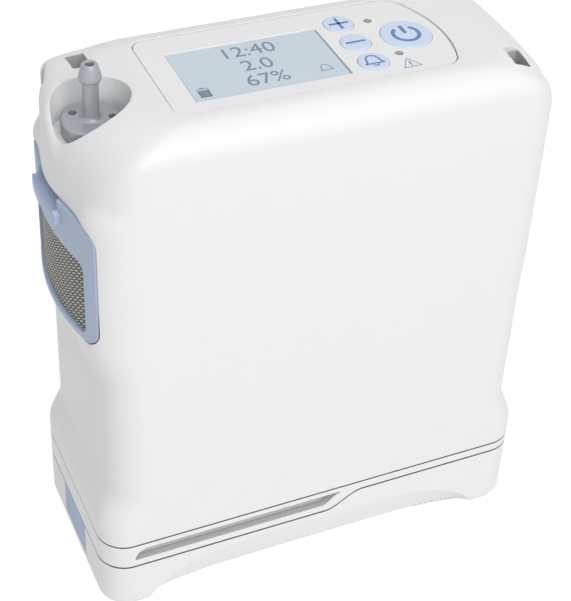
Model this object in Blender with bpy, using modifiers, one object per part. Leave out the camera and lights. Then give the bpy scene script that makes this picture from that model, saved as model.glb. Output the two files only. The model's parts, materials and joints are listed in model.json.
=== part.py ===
"""Small portable oxygen concentrator: white housing, slide-on battery, intake filter and outlet nozzle.

Metres, +Z up, -Y is the front, +X is the right seen from the front.
The origin is at the middle of the battery's underside.
"""
import math

import bmesh
import bpy
from mathutils import Matrix, Vector

MM = 0.001

# Fits
GAP = 0.3 * MM                    # between pieces that touch
SEAM = 0.4 * MM                   # visible joint between two housing pieces
CUT_OVER = 4.0 * MM               # how far a cutter runs past the face it opens

# Outer body
WAIST_HALF_WIDTH = 69.0 * MM
FOOT_FLARE = 3.6 * MM             # how much wider the base is on each side
BASE_HALF_WIDTH = WAIST_HALF_WIDTH + FOOT_FLARE
HALF_DEPTH = 32.9 * MM
BASE_CORNER = 9.2 * MM
WAIST_CORNER = 11.9 * MM
HOUSING_TOP = 175.3 * MM
SEAM_UPPER = 28.1 * MM            # housing to base tray
SEAM_LEFT = 18.9 * MM             # base tray to battery, left of the step
SEAM_RIGHT = 24.7 * MM            # the same, right of the step
STEP_START = 2.0 * MM
STEP_END = 15.0 * MM
FLARE_LOW = 34.0 * MM
FLARE_HIGH = 48.0 * MM
BULGE_START = HOUSING_TOP - 87.3 * MM
BULGE_FULL = HOUSING_TOP - 69.3 * MM
LAND_FADE_LOW = HOUSING_TOP - 27.3 * MM   # the filter's bulge turns into the well's bulge
LAND_FADE_HIGH = HOUSING_TOP - 20.3 * MM
SIDE_BULGE = 2.4 * MM             # extra width of the right side
LAND_BULGE = 6.2 * MM             # extra width round the intake filter
LAND_EDGE_BULGE = 3.5 * MM        # what is left of it at the filter's front and rear edges
LAND_SPAN = 21.0 * MM
WELL_BULGE = 6.3 * MM             # extra width beside the outlet well
WELL_BULGE_FRONT = 34.0 * MM      # how far it runs to the front and the rear
WELL_BULGE_REAR = 27.0 * MM
WELL_BULGE_Y = -0.5 * MM
SIDE_FILLET = 20.0 * MM
LEFT_FILLET = 8.0 * MM            # side fillet behind the outlet well
LEFT_FILLET_START = -9.0 * MM
LEFT_FILLET_END = 1.0 * MM
FRONT_FILLET = 9.0 * MM
REAR_FILLET = 17.5 * MM
CROWN_FALL = 1.7 * MM             # how much lower the top is at its left end
CROWN_EDGE = 45.0 * MM            # where that fall starts
CROWN_SPAN = 14.0 * MM
CROWN_FRONT_SHARE = 0.5           # share of the fall that the front corner has
CROWN_FLAT = (0.9, 0.85)          # how far the flat crown reaches to the right and across
TOP_CORNER = 8.0 * MM
WALL = 2.2 * MM
ROOF = 4.8 * MM
CORNER_STEPS = 5                  # facets round an upright corner
SIDE_STEPS = 5                    # facets along a bowed side
FILLET_STEPS = 6                  # facets over a top edge
STEP_STEPS = 10                   # facets along the stepped joint
ARCH_STEPS = 20                   # facets along the battery's arches

# Base tray
TRAY_TOP = SEAM_UPPER - SEAM / 2
TRAY_FLOOR = SEAM_LEFT + 2.2 * MM
TRAY_WALL = 4.8 * MM
TRAY_CORNER = 9.0 * MM
SLOT_LEFT = 9.6 * MM - BASE_HALF_WIDTH
SLOT_RIGHT = STEP_START + 5.0 * MM
SLOT_LOW = SEAM_LEFT + 2.7 * MM
SLOT_HIGH = SEAM_LEFT + 7.1 * MM
SLOT_DEPTH = 5.0 * MM
GRILLE_DEPTH = 2.4 * MM
GRILLE_THICK = 1.0 * MM

# Housing screws
SCREW_X = BASE_HALF_WIDTH - 6.6 * MM
SCREW_Y = HALF_DEPTH - 6.6 * MM
SCREW_RADIUS = 1.3 * MM
SCREW_HEAD = 2.6 * MM
SCREW_HEAD_THICK = 1.6 * MM
SCREW_LENGTH = 9.0 * MM
SCREW_BOSS = 3.6 * MM
SCREW_BOSS_HEIGHT = 14.0 * MM

# Battery
BATTERY_FLOOR = 2.4 * MM
BATTERY_LID = 1.8 * MM
BATTERY_EDGE = 4.0 * MM
LID_LEDGE = 2.0 * MM
ARCH_HALF_WIDTH = BASE_HALF_WIDTH - 13.4 * MM
ARCH_HEIGHT = 16.4 * MM
ARCH_DEPTH = 7.2 * MM
ARCH_END = 2.0 * MM               # its height and depth at the ends, where the rounded edge hides them
ARCH_POWER = 5                    # how square the arch is
CAVITY_HALF_WIDTH = BASE_HALF_WIDTH - 11.6 * MM
CAVITY_HALF_DEPTH = HALF_DEPTH - 8.7 * MM
CELL_COUNT = 2
CELL_SPACE = 2.0 * MM             # between two cells
CELL_END = 2.0 * MM               # between a cell and the end of its bay
CELL_LENGTH = CAVITY_HALF_WIDTH - CELL_END - CELL_SPACE / 2
CELL_DEPTH = 2 * CAVITY_HALF_DEPTH - 3.4 * MM
CELL_HEIGHT = 12.4 * MM
CELL_EDGE = 1.2 * MM
BATTERY_BOARD_LEFT = CAVITY_HALF_WIDTH - 39.0 * MM
BATTERY_BOARD_END = 3.0 * MM
BATTERY_BOARD_SIDE = 4.2 * MM
CONTACT_X = CAVITY_HALF_WIDTH - 19.0 * MM
CONTACT_HALF = (8.0 * MM, 4.0 * MM)
SOCKET_HALF = (10.0 * MM, 5.0 * MM)
SOCKET_COVER = 0.8 * MM           # tray left above the battery's socket

# Battery latch
LATCH_HALF_WIDTH = 10.6 * MM
LATCH_LOW = 5.6 * MM
LATCH_THICK = 2.4 * MM
LATCH_SINK = 0.2 * MM
LATCH_FLOOR = BASE_HALF_WIDTH - 5.4 * MM     # bottom of the latch recess, from the middle
LATCH_EDGE = 0.5 * MM
LATCH_PIN_X = BASE_HALF_WIDTH - 2.4 * MM
LATCH_PIN_Z = 7.4 * MM
LATCH_PIN_RADIUS = 0.9 * MM
LATCH_PIN_END = 2.6 * MM          # how far the pin runs into the case
LATCH_BARREL = 1.75 * MM
LATCH_SPRING_Z = 14.6 * MM
LATCH_SPRING_RADIUS = 1.7 * MM
LATCH_SPRING_WIRE = 0.25 * MM
LATCH_SPRING_LENGTH = 4.2 * MM
LATCH_SPRING_TURN_COUNT = 4
LATCH_SPRING_POCKET = 3.0 * MM

# Control panel
PANEL_LEFT = 24.0 * MM - WAIST_HALF_WIDTH
PANEL_RIGHT = WAIST_HALF_WIDTH - 27.2 * MM
PANEL_FRONT = 10.9 * MM - HALF_DEPTH
PANEL_REAR = HALF_DEPTH - 15.3 * MM
PANEL_CORNER = 4.2 * MM
PANEL_BOW = 5.2 * MM              # how far the right edge draws in
PANEL_BOW_SPAN = 20.0 * MM        # this far either side of its widest point
PANEL_BOW_Y = PANEL_FRONT + 17.0 * MM
PANEL_SINK = 0.4 * MM             # panel face below the crown of the housing
PANEL_THICK = 2.6 * MM
PANEL_LEDGE = 2.0 * MM
PANEL_FACE = HOUSING_TOP - PANEL_SINK
PANEL_BACK = PANEL_FACE - PANEL_THICK
SCREEN_LEFT = PANEL_LEFT + 7.5 * MM
SCREEN_RIGHT = PANEL_RIGHT - 34.3 * MM
SCREEN_FRONT = PANEL_FRONT + 5.4 * MM
SCREEN_REAR = PANEL_REAR - 9.1 * MM
SCREEN_SINK = 0.5 * MM
SCREEN_THICK = 0.9 * MM
SCREEN_LEDGE = 2.0 * MM
ROOF_BELOW = HOUSING_TOP - ROOF
BOARD_THICK = 1.6 * MM
BOARD_TOP = ROOF_BELOW - 2.9 * MM
BOARD_EDGE = 3.0 * MM             # display board inside the panel's outline
SWITCH_TOP = BOARD_TOP + 1.4 * MM
SMALL_BUTTON_RADIUS = 4.35 * MM
POWER_BUTTON_RADIUS = 7.4 * MM
BUTTON_STAND = 0.25 * MM          # how far a button stands above the panel
BUTTON_TRAVEL = 0.7 * MM
BUTTON_CHAMFER = 0.4 * MM
BUTTON_FLANGE = 0.5 * MM
BUTTON_FLANGE_THICK = 0.8 * MM
BUTTON_STEM = 1.5 * MM
BUTTON_FREE = 0.1 * MM            # stem to switch with the button pressed
KEYPAD_LEFT = SCREEN_RIGHT + 2.1 * MM
KEYPAD_RIGHT = PANEL_RIGHT - 5.0 * MM
KEYPAD_SIDE = 4.0 * MM
KEYPAD_THICK = 0.6 * MM
DOME_RADIUS = 3.0 * MM
DOME_TOP_RADIUS = 2.0 * MM
LAMP_RADIUS = 1.0 * MM
BUTTONS = {
    "plus_button": (SCREEN_RIGHT + 7.7 * MM, PANEL_REAR - 8.8 * MM, SMALL_BUTTON_RADIUS),
    "minus_button": (SCREEN_RIGHT + 8.0 * MM, PANEL_REAR - 19.8 * MM, SMALL_BUTTON_RADIUS),
    "alert_button": (SCREEN_RIGHT + 8.3 * MM, PANEL_REAR - 30.9 * MM, SMALL_BUTTON_RADIUS),
    "power_button": (SCREEN_RIGHT + 23.7 * MM, PANEL_REAR - 20.3 * MM, POWER_BUTTON_RADIUS),
}
LAMPS = {
    "breath_lamp": (SCREEN_RIGHT + 16.6 * MM, PANEL_REAR - 9.6 * MM),
    "alert_lamp": (SCREEN_RIGHT + 17.3 * MM, PANEL_REAR - 28.9 * MM),
}
SPEAKER_X = SCREEN_LEFT + 15.5 * MM
SPEAKER_RADIUS = 8.0 * MM
SPEAKER_THICK = 4.0 * MM

# Outlet well and nozzle
NOZZLE_X = 6.2 * MM - WAIST_HALF_WIDTH
NOZZLE_Y = -3.6 * MM
WELL_RADIUS = 10.8 * MM
WELL_FLOOR = HOUSING_TOP - 12.7 * MM
WELL_WALL = 2.0 * MM
NOZZLE_TOP = HOUSING_TOP + 8.7 * MM
COLLAR_RADIUS = 8.35 * MM
COLLAR_TOP = WELL_FLOOR + 4.7 * MM
COLLAR_EDGE = 0.5 * MM
BARB_BORE = 1.1 * MM
BARB_TIP = 1.65 * MM
BARB_RADIUS = 3.15 * MM
BARB_LENGTH = 3.2 * MM
BARB_LAND = 1.0 * MM
BARB_BACK = 1.2 * MM
STEM_RADIUS = 2.25 * MM
STEM_FOOT = 1.2 * MM              # height and spread of the fillet under the stem
SPANNER_REACH = 5.4 * MM
SPANNER_RADIUS = 0.95 * MM
SPANNER_DEPTH = 2.2 * MM
SPANNER_TURN = 0.42
SPIGOT_RADIUS = 3.6 * MM
SPIGOT_LENGTH = 7.6 * MM
RING_RADIUS = 0.55 * MM
RING_MAJOR = 3.9 * MM
RING_SEAT = 3.0 * MM
RING_GROOVE = 0.9 * MM            # half of the groove's height
RING_Z = WELL_FLOOR - 6.0 * MM
SOCKET_RADIUS = 6.6 * MM
SOCKET_BORE = 4.7 * MM
SOCKET_LENGTH = 9.6 * MM
SOCKET_BASE = 1.4 * MM
SOCKET_STUB = 3.0 * MM
SOCKET_STUB_RADIUS = 1.7 * MM
SOCKET_STUB_BORE = 0.8 * MM
OUTPUT_FILTER_THICK = 1.6 * MM

# Strap slots
STRAP_PLACES = {                  # middle of each slot: left rear and right front
    -1: (8.8 * MM - WAIST_HALF_WIDTH, HALF_DEPTH - 16.9 * MM),
    1: (WAIST_HALF_WIDTH - 12.2 * MM, 10.9 * MM - HALF_DEPTH),
}
STRAP_MOUTHS = {-1: 8.0 * MM, 1: 5.6 * MM}    # height of each side opening
STRAP_WIDTH = 5.2 * MM
STRAP_SPAN = 8.2 * MM
STRAP_FLOOR = HOUSING_TOP - 12.3 * MM
STRAP_WALL = 2.0 * MM
STRAP_EDGE = 1.2 * MM

# Intake filter
FILTER_HALF_SPAN = HALF_DEPTH - 5.9 * MM
FILTER_HIGH = HOUSING_TOP - 28.5 * MM
FILTER_LOW = FILTER_HIGH - 41.0 * MM
FILTER_CORNER = 6.0 * MM
FILTER_FACE = WAIST_HALF_WIDTH + 6.7 * MM     # outermost point of the frame
FILTER_BACK = WAIST_HALF_WIDTH + 0.6 * MM
FILTER_SEAT = 1.8 * MM            # housing wall behind the filter
FILTER_LAND = 3.0 * MM            # the same, round the filter
FILTER_ARC = 74.0 * MM
FILTER_ARC_STEPS = 14
MESH_HALF_SPAN = FILTER_HALF_SPAN - 7.5 * MM
MESH_LOW = FILTER_LOW + 2.8 * MM
MESH_HIGH = FILTER_HIGH - 13.6 * MM
MESH_CORNER = 3.0 * MM
MESH_SINK = 1.0 * MM
MESH_THICK = 0.9 * MM
FOAM_THICK = 0.7 * MM
TAB_HALF_SPAN = 10.5 * MM
TAB_LOW = FILTER_HIGH - 8.2 * MM
TAB_HIGH = FILTER_HIGH - 3.2 * MM
TAB_STAND = 1.6 * MM
TAB_EDGE = 1.2 * MM
POCKET_DEPTH = 2.4 * MM
POCKET_SIDE = 2.0 * MM
POCKET_BELOW = 0.8 * MM

# Cooling fan behind the filter
FAN_Z = FILTER_LOW + 14.2 * MM
FAN_HALF = 20.0 * MM
FAN_EDGE = 1.5 * MM
FAN_THICK = 9.2 * MM
FAN_BORE = FAN_HALF - 1.6 * MM
FAN_HUB = FAN_HALF * 0.4
FAN_PIN = 1.2 * MM
FAN_PLATE = 1.2 * MM
FAN_SPOKE_COUNT = 3
FAN_SPOKE_TURN = 0.4
FAN_SPOKE_HALF = 1.2 * MM
FAN_FREE = 1.0 * MM               # rotor behind the front of the frame
FAN_BLADE_COUNT = 7
FAN_BLADE_THICK = 1.0 * MM
FAN_BLADE_CHORD = 6.8 * MM
FAN_BLADE_TIP = 0.8 * MM
FAN_BLADE_ANGLE = 50

# Compressor
CRANK_X = 37.0 * MM - WAIST_HALF_WIDTH
CRANK_Y = 10.9 * MM - HALF_DEPTH
CRANK_Z = SEAM_UPPER + 29.9 * MM
CRANKCASE_RADIUS = 15.0 * MM
CRANKCASE_BORE = 12.0 * MM
CRANKCASE_LENGTH = 20.0 * MM
CRANKCASE_BACK = 3.0 * MM
COVER_THICK = 2.0 * MM
SHAFT_RADIUS = 2.5 * MM
SHAFT_START = 3.0 * MM
WEB_RADIUS = 9.0 * MM
WEB_THICK = 4.0 * MM
THROW_OFFSET = 3.4 * MM
THROW_RADIUS = 2.4 * MM
THROW_LENGTH = 4.0 * MM
MOTOR_RADIUS = 15.5 * MM
MOTOR_BORE = 12.5 * MM
MOTOR_LENGTH = 22.0 * MM
MOTOR_BACK = 2.0 * MM
ROTOR_RADIUS = 12.0 * MM
ROTOR_END = 4.0 * MM
HEAD_RADIUS = 10.0 * MM
HEAD_BORE = 7.0 * MM
HEAD_LENGTH = 17.0 * MM
HEAD_TOP = 3.0 * MM
HEAD_FIN_COUNT = 3
FIN_DEPTH = 1.6 * MM
FIN_SHARE = 0.45
BRACKET_THICK = 2.5 * MM
BRACKET_HALF = 22.0 * MM
ISOLATOR_HALF = 4.0 * MM
ISOLATOR_X = 17.0 * MM
ISOLATOR_START = 6.0 * MM
ISOLATOR_HOLLOW = 4.5 * MM
MUFFLER_HALF = 14.0 * MM
MUFFLER_START = 5.4 * MM
MUFFLER_THICK = 7.6 * MM
MUFFLER_HEIGHT = 15.6 * MM

# Gas side
COLUMN_RADIUS = (HALF_DEPTH - 6.9 * MM) / 2
COLUMN_Y = COLUMN_RADIUS + 1.2 * MM
COLUMN_X = WAIST_HALF_WIDTH - 23.0 * MM
COLUMN_LOW = SEAM_UPPER + 10.9 * MM
COLUMN_HIGH = HOUSING_TOP - 29.3 * MM
COLUMN_CAP = 7.0 * MM
COLUMN_CAP_STAND = 0.9 * MM
MANIFOLD_HALF = COLUMN_RADIUS + 2.0 * MM
MANIFOLD_EDGE = 0.8 * MM
VALVE_MANIFOLD_HALF = COLUMN_Y + COLUMN_RADIUS - 0.2 * MM
VALVE_MANIFOLD_THICK = 8.0 * MM
VALVE_COUNT = 4
VALVE_PITCH = 13.0 * MM
VALVE_SIZE = 9.0 * MM
VALVE_BAR = (11.0 * MM, 25.0 * MM, 2.5 * MM)
TANK_RADIUS = 12.0 * MM
TANK_X = COLUMN_X - 32.0 * MM
TANK_Y = 12.0 * MM
TANK_HIGH = HOUSING_TOP - 55.3 * MM
TANK_SHOULDER = 3.0 * MM
TANK_NECK = 3.4 * MM
TUBE_RADIUS = 2.4 * MM

# Electronics
MAIN_BOARD_LEFT = 21.0 * MM - WAIST_HALF_WIDTH
MAIN_BOARD_RIGHT = WAIST_HALF_WIDTH - 41.0 * MM
MAIN_BOARD_LOW = SEAM_UPPER + 33.9 * MM
MAIN_BOARD_HIGH = HOUSING_TOP - 25.3 * MM
SOCKETS_Z = SEAM_UPPER + 29.9 * MM
DC_Y = -12.0 * MM
DC_RADIUS = 3.8 * MM
DC_WALL = 1.0 * MM
DC_LENGTH = 8.0 * MM
DC_BACK = 2.0 * MM
DC_PIN_RADIUS = 0.6 * MM
USB_Y = 8.0 * MM
USB_WIDTH = 8.0 * MM
USB_HEIGHT = 3.2 * MM
USB_LENGTH = 6.0 * MM
USB_SINK = 0.2 * MM
USB_SKIN = 0.4 * MM
USB_BACK = 1.0 * MM

# Sides of round pieces
ROUND = 24
SMALL_ROUND = 20
TINY_ROUND = 12
WELL_ROUND = 40

# Finishes: colour, roughness, metallic
HOUSING_FINISH = ((0.905, 0.91, 0.915), 0.42)
PANEL_FINISH = ((0.9, 0.905, 0.91), 0.38)
BUTTON_FINISH = ((0.56, 0.64, 0.83), 0.45)
SCREEN_FINISH = ((0.52, 0.63, 0.72), 0.12)
LAMP_FINISH = ((0.75, 0.76, 0.76), 0.3)
NOZZLE_FINISH = ((0.29, 0.31, 0.33), 0.35, 0.3)
FILTER_FINISH = ((0.60, 0.69, 0.83), 0.45)
MESH_FINISH = ((0.19, 0.18, 0.17), 0.7)
FOAM_FINISH = ((0.08, 0.08, 0.08), 0.95)
FELT_FINISH = ((0.8, 0.8, 0.78), 0.9)
LATCH_FINISH = ((0.32, 0.42, 0.62), 0.45)
GRILLE_FINISH = ((0.45, 0.46, 0.46), 0.7)
MOTOR_FINISH = ((0.1, 0.1, 0.11), 0.5, 0.4)
BOARD_FINISH = ((0.03, 0.16, 0.08), 0.5)
STEEL_FINISH = ((0.55, 0.55, 0.56), 0.35, 1.0)
ALLOY_FINISH = ((0.62, 0.63, 0.64), 0.45, 1.0)
BRASS_FINISH = ((0.72, 0.52, 0.2), 0.35, 1.0)
RUBBER_FINISH = ((0.03, 0.03, 0.03), 0.85)
BLACK_FINISH = ((0.04, 0.04, 0.045), 0.5)
CELL_FINISH = ((0.12, 0.2, 0.42), 0.4)
TUBE_FINISH = ((0.7, 0.72, 0.72), 0.35)


def clear_scene():
    for old in list(bpy.data.objects):
        bpy.data.objects.remove(old, do_unlink=True)


def new_collection(name):
    collection = bpy.data.collections.new(name)
    bpy.context.scene.collection.children.link(collection)
    return collection


clear_scene()
PARTS = new_collection("oxygen_concentrator")
CUTTERS = new_collection("cutters")


def material(name, color, roughness, metallic=0.0):
    made = bpy.data.materials.new(name)
    made.use_nodes = True
    shader = made.node_tree.nodes["Principled BSDF"]
    shader.inputs["Base Color"].default_value = (*color, 1.0)
    shader.inputs["Roughness"].default_value = roughness
    shader.inputs["Metallic"].default_value = metallic
    return made


def add_mesh(name, bm, finish=None, place=(0.0, 0.0, 0.0), smooth=True):
    """Link a mesh to the part's collection, or to the cutters' when it has no finish."""
    mesh = bpy.data.meshes.new(name)
    bmesh.ops.recalc_face_normals(bm, faces=bm.faces)
    bm.to_mesh(mesh)
    bm.free()
    if smooth:
        mesh.shade_smooth()
        mesh.set_sharp_from_angle(angle=math.radians(35))
    made = bpy.data.objects.new(name, mesh)
    made.location = place
    if finish is None:
        CUTTERS.objects.link(made)
        made.hide_render = True
        made.display_type = "WIRE"
    else:
        PARTS.objects.link(made)
        mesh.materials.append(material(name, *finish))
    return made


def box(name, low, high, finish=None, edge=0.0, segments=1):
    """Box between two corners; its origin is at its middle."""
    low = Vector(low)
    high = Vector(high)
    bm = bmesh.new()
    bmesh.ops.create_cube(bm, size=1.0)
    bmesh.ops.scale(bm, vec=high - low, verts=bm.verts)
    made = add_mesh(name, bm, finish, (low + high) / 2, smooth=False)
    if edge:
        bevel(made, edge, segments)
    return made


def bevel(target, width, segments=2, angle=40):
    mod = target.modifiers.new("edges", "BEVEL")
    mod.width = width
    mod.segments = segments
    mod.limit_method = "ANGLE"
    mod.angle_limit = math.radians(angle)


def axis_turn(axis):
    """Rotation that takes +Z to the named axis."""
    return {
        "Z": Matrix.Identity(4),
        "X": Matrix.Rotation(math.pi / 2, 4, "Y"),
        "Y": Matrix.Rotation(-math.pi / 2, 4, "X"),
    }[axis]


def rod(name, start, length, radius, finish=None, axis="Z", sides=ROUND, end_radius=None):
    """Solid cylinder or cone from start along an axis; its origin is at its start."""
    bm = bmesh.new()
    bmesh.ops.create_cone(bm, cap_ends=True, segments=sides, radius1=radius,
                          radius2=radius if end_radius is None else end_radius, depth=length)
    bmesh.ops.translate(bm, vec=(0, 0, length / 2), verts=bm.verts)
    bmesh.ops.transform(bm, matrix=axis_turn(axis), verts=bm.verts)
    return add_mesh(name, bm, finish, start)


def turned(name, profile, place, finish=None, axis="Z", sides=ROUND):
    """Body of revolution: (radius, height) points down the outer side, closed at the axis or by a bore."""
    bm = bmesh.new()
    verts = [bm.verts.new((radius, 0.0, height)) for radius, height in profile]
    for first, second in zip(verts, verts[1:]):
        bm.edges.new((first, second))
    if profile[0][0] > 0.0:
        bm.edges.new((verts[-1], verts[0]))
    mesh = bpy.data.meshes.new(name)
    bm.to_mesh(mesh)
    bm.free()
    made = bpy.data.objects.new(name, mesh)
    made.location = place
    made.rotation_euler = axis_turn(axis).to_euler()
    mod = made.modifiers.new("turn", "SCREW")
    mod.steps = sides
    mod.render_steps = sides
    mod.use_merge_vertices = True
    mod.merge_threshold = 0.00002
    mod.use_smooth_shade = True
    if finish is None:
        CUTTERS.objects.link(made)
        made.hide_render = True
        made.display_type = "WIRE"
    else:
        PARTS.objects.link(made)
        mesh.materials.append(material(name, *finish))
    return made


def outline_plate(name, points, low, high, plane="XY", finish=None):
    """Flat outline extruded between two heights along the third axis."""
    curve = bpy.data.curves.new(name, "CURVE")
    curve.dimensions = "2D"
    curve.fill_mode = "BOTH"
    curve.extrude = (high - low) / 2
    spline = curve.splines.new("POLY")
    spline.points.add(len(points) - 1)
    for point, (u, v) in zip(spline.points, points):
        point.co = (u, v, 0.0, 1.0)
    spline.use_cyclic_u = True
    guide = bpy.data.objects.new(name + "_outline", curve)
    bpy.context.scene.collection.objects.link(guide)
    bpy.context.view_layer.update()
    graph = bpy.context.evaluated_depsgraph_get()
    mesh = bpy.data.meshes.new_from_object(guide.evaluated_get(graph))
    bm = bmesh.new()
    bm.from_mesh(mesh)
    bpy.data.objects.remove(guide, do_unlink=True)
    bpy.data.meshes.remove(mesh)
    bmesh.ops.remove_doubles(bm, verts=bm.verts, dist=0.000005)
    middle = (low + high) / 2
    turn = {
        "XY": Matrix.Identity(4),
        "YZ": Matrix(((0, 0, 1, 0), (1, 0, 0, 0), (0, 1, 0, 0), (0, 0, 0, 1))),
        "XZ": Matrix(((1, 0, 0, 0), (0, 0, -1, 0), (0, 1, 0, 0), (0, 0, 0, 1))),
    }[plane]
    shift = {"XY": (0, 0, middle), "YZ": (middle, 0, 0), "XZ": (0, middle, 0)}[plane]
    bmesh.ops.transform(bm, matrix=Matrix.Translation(shift) @ turn, verts=bm.verts)
    return add_mesh(name, bm, finish)


def boolean(target, tool, operation="DIFFERENCE", solver="EXACT"):
    mod = target.modifiers.new(operation.lower(), "BOOLEAN")
    mod.operation = operation
    mod.solver = solver
    mod.object = tool


def tube(name, points, radius, finish):
    """Round tube or wire through points."""
    curve = bpy.data.curves.new(name, "CURVE")
    curve.dimensions = "3D"
    curve.bevel_depth = radius
    curve.bevel_resolution = 2
    curve.use_fill_caps = True
    spline = curve.splines.new("POLY")
    spline.points.add(len(points) - 1)
    for point, place in zip(spline.points, points):
        point.co = (*place, 1.0)
    made = bpy.data.objects.new(name, curve)
    PARTS.objects.link(made)
    curve.materials.append(material(name, *finish))
    return made


def rounded_outline(u_low, u_high, v_low, v_high, radius, steps=5):
    """Rounded rectangle, counter-clockwise from its lower right corner."""
    corners = (
        (u_high - radius, v_low + radius, -90),
        (u_high - radius, v_high - radius, 0),
        (u_low + radius, v_high - radius, 90),
        (u_low + radius, v_low + radius, 180),
    )
    points = []
    for u, v, start in corners:
        for step in range(steps + 1):
            angle = math.radians(start + 90 * step / steps)
            points.append((u + radius * math.cos(angle), v + radius * math.sin(angle)))
    return points


def ease(value, start, end):
    """Smooth rise from 0 at start to 1 at end."""
    share = min(max((value - start) / (end - start), 0.0), 1.0)
    return share * share * (3 - 2 * share)


def seam_height(x):
    """Height of the stepped joint between the base tray and the battery."""
    return SEAM_LEFT + (SEAM_RIGHT - SEAM_LEFT) * ease(x, STEP_START, STEP_END)


def left_push(y, upper):
    """How far the left side stands out: round the filter, or beside the outlet well above it."""
    middle = 0.5 + 0.5 * math.cos(math.pi * min(abs(y) / LAND_SPAN, 1.0))
    land = LAND_EDGE_BULGE + (LAND_BULGE - LAND_EDGE_BULGE) * middle
    away = y - WELL_BULGE_Y
    reach = WELL_BULGE_FRONT if away < 0 else WELL_BULGE_REAR
    well = WELL_BULGE * (0.5 + 0.5 * math.cos(math.pi * min(abs(away) / reach, 1.0)))
    return land + (well - land) * upper


def right_push(y):
    return SIDE_BULGE * (1 - (y / HALF_DEPTH) ** 2)


def plan_ring(half_width, front, rear, corner, rise, upper):
    """Plan outline of the body: (x, y, share of side) with bowed sides."""
    points = []
    ends = (
        (1, front + corner, -90),
        (1, rear - corner, 0),
        (-1, rear - corner, 90),
        (-1, front + corner, 180),
    )
    plain = []
    for index, (side, y_mid, start) in enumerate(ends):
        for step in range(CORNER_STEPS + 1):
            angle = math.radians(start + 90 * step / CORNER_STEPS)
            x = side * (half_width - corner) + corner * math.cos(angle)
            plain.append((x, y_mid + corner * math.sin(angle)))
        if index in (0, 2):
            here = plain[-1]
            there_y = ends[index + 1][1]
            for step in range(1, SIDE_STEPS):
                plain.append((here[0], here[1] + (there_y - here[1]) * step / SIDE_STEPS))
    for x, y in plain:
        share = min(max((abs(x) - (half_width - corner)) / corner, 0.0), 1.0)
        push = left_push(y, upper) if x < 0 else right_push(y)
        points.append((x + math.copysign(push * rise * share, x), y, share))
    return points


def crown_fall(x, y):
    """How far the top lies below the crown: it falls towards the left end, most behind the well."""
    behind = ease(y, LEFT_FILLET_START, LEFT_FILLET_END)
    depth = CROWN_FRONT_SHARE + (1 - CROWN_FRONT_SHARE) * behind
    return CROWN_FALL * ease(-x, CROWN_EDGE, CROWN_EDGE + CROWN_SPAN) * depth


def body_solid(name, inset, bottom, top, finish=None):
    """Closed body between two heights, drawn in from the outer skin by inset."""
    half_depth = HALF_DEPTH - inset

    def ring_at(z):
        flare = ease(z, FLARE_LOW, FLARE_HIGH)
        half_width = BASE_HALF_WIDTH + (WAIST_HALF_WIDTH - BASE_HALF_WIDTH) * flare - inset
        corner = BASE_CORNER + (WAIST_CORNER - BASE_CORNER) * flare - inset
        ring = plan_ring(half_width, -half_depth, half_depth, corner, ease(z, BULGE_START, BULGE_FULL),
                         ease(z, LAND_FADE_LOW, LAND_FADE_HIGH))
        return [(x, y, z) for x, y, _ in ring]

    heights = [bottom]
    flare_steps = [FLARE_LOW + (FLARE_HIGH - FLARE_LOW) * share for share in (0, 0.35, 0.65, 1)]
    bulge_steps = [BULGE_START + (BULGE_FULL - BULGE_START) * share for share in (0, 0.35, 0.65, 1)]
    upper_steps = [LAND_FADE_LOW, (LAND_FADE_LOW + LAND_FADE_HIGH) / 2]
    heights += [z for z in flare_steps + bulge_steps + upper_steps if z > bottom + MM]
    rings = [ring_at(z) for z in heights]

    side, front, rear, left = [
        radius - inset for radius in (SIDE_FILLET, FRONT_FILLET, REAR_FILLET, LEFT_FILLET)]
    half_width = WAIST_HALF_WIDTH - inset
    for step in range(FILLET_STEPS + 1):
        angle = math.pi / 2 * step / FILLET_STEPS
        drawn = 1 - math.cos(angle)
        corner = (WAIST_CORNER - inset) + (TOP_CORNER - WAIST_CORNER) * drawn
        ring = plan_ring(half_width - side * drawn, -half_depth + front * drawn, half_depth - rear * drawn,
                         corner, 1.0, 1.0)
        placed = []
        for x, y, share in ring:
            across = side
            if x < 0:
                across += (left - side) * ease(y, LEFT_FILLET_START, LEFT_FILLET_END)
            x += math.copysign((side - across) * drawn * share, x)
            blend = share * share
            radius = across * blend + (front if y < 0 else rear) * (1 - blend)
            fall = crown_fall(x, y) * math.sin(angle) ** 2
            placed.append((x, y, top - radius * (1 - math.sin(angle)) - fall))
        rings.append(placed)
    shrink = CROWN_EDGE / max(-x for x, _, _ in rings[-1])
    along, across = CROWN_FLAT
    rings.append([(x * (shrink if x < 0 else along), y * across, top) for x, y, _ in rings[-1]])
    return loft(name, rings, finish)


def loft(name, rings, finish=None):
    """Closed skin through rings with the same number of points."""
    bm = bmesh.new()
    rows = [[bm.verts.new(point) for point in ring] for ring in rings]
    count = len(rows[0])
    for lower, upper in zip(rows, rows[1:]):
        for index in range(count):
            after = (index + 1) % count
            bm.faces.new((lower[index], lower[after], upper[after], upper[index]))
    bm.faces.new(reversed(rows[0]))
    bm.faces.new(rows[-1])
    return add_mesh(name, bm, finish)


def tray_and_battery_split(name, shift, above):
    """Region above or below the stepped joint, as a block the full depth of the body."""
    reach = BASE_HALF_WIDTH + CUT_OVER
    run = [(x, seam_height(x) + shift) for x in [-reach] + step_xs() + [reach]]
    far = SEAM_UPPER + 2 * CUT_OVER if above else -CUT_OVER
    points = run + [(reach, far), (-reach, far)]
    return outline_plate(name, points, -HALF_DEPTH - CUT_OVER, HALF_DEPTH + CUT_OVER, "XZ")


def step_xs():
    """Where the stepped joint is cut into facets."""
    return [STEP_START + (STEP_END - STEP_START) * step / STEP_STEPS for step in range(STEP_STEPS + 1)]


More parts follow.
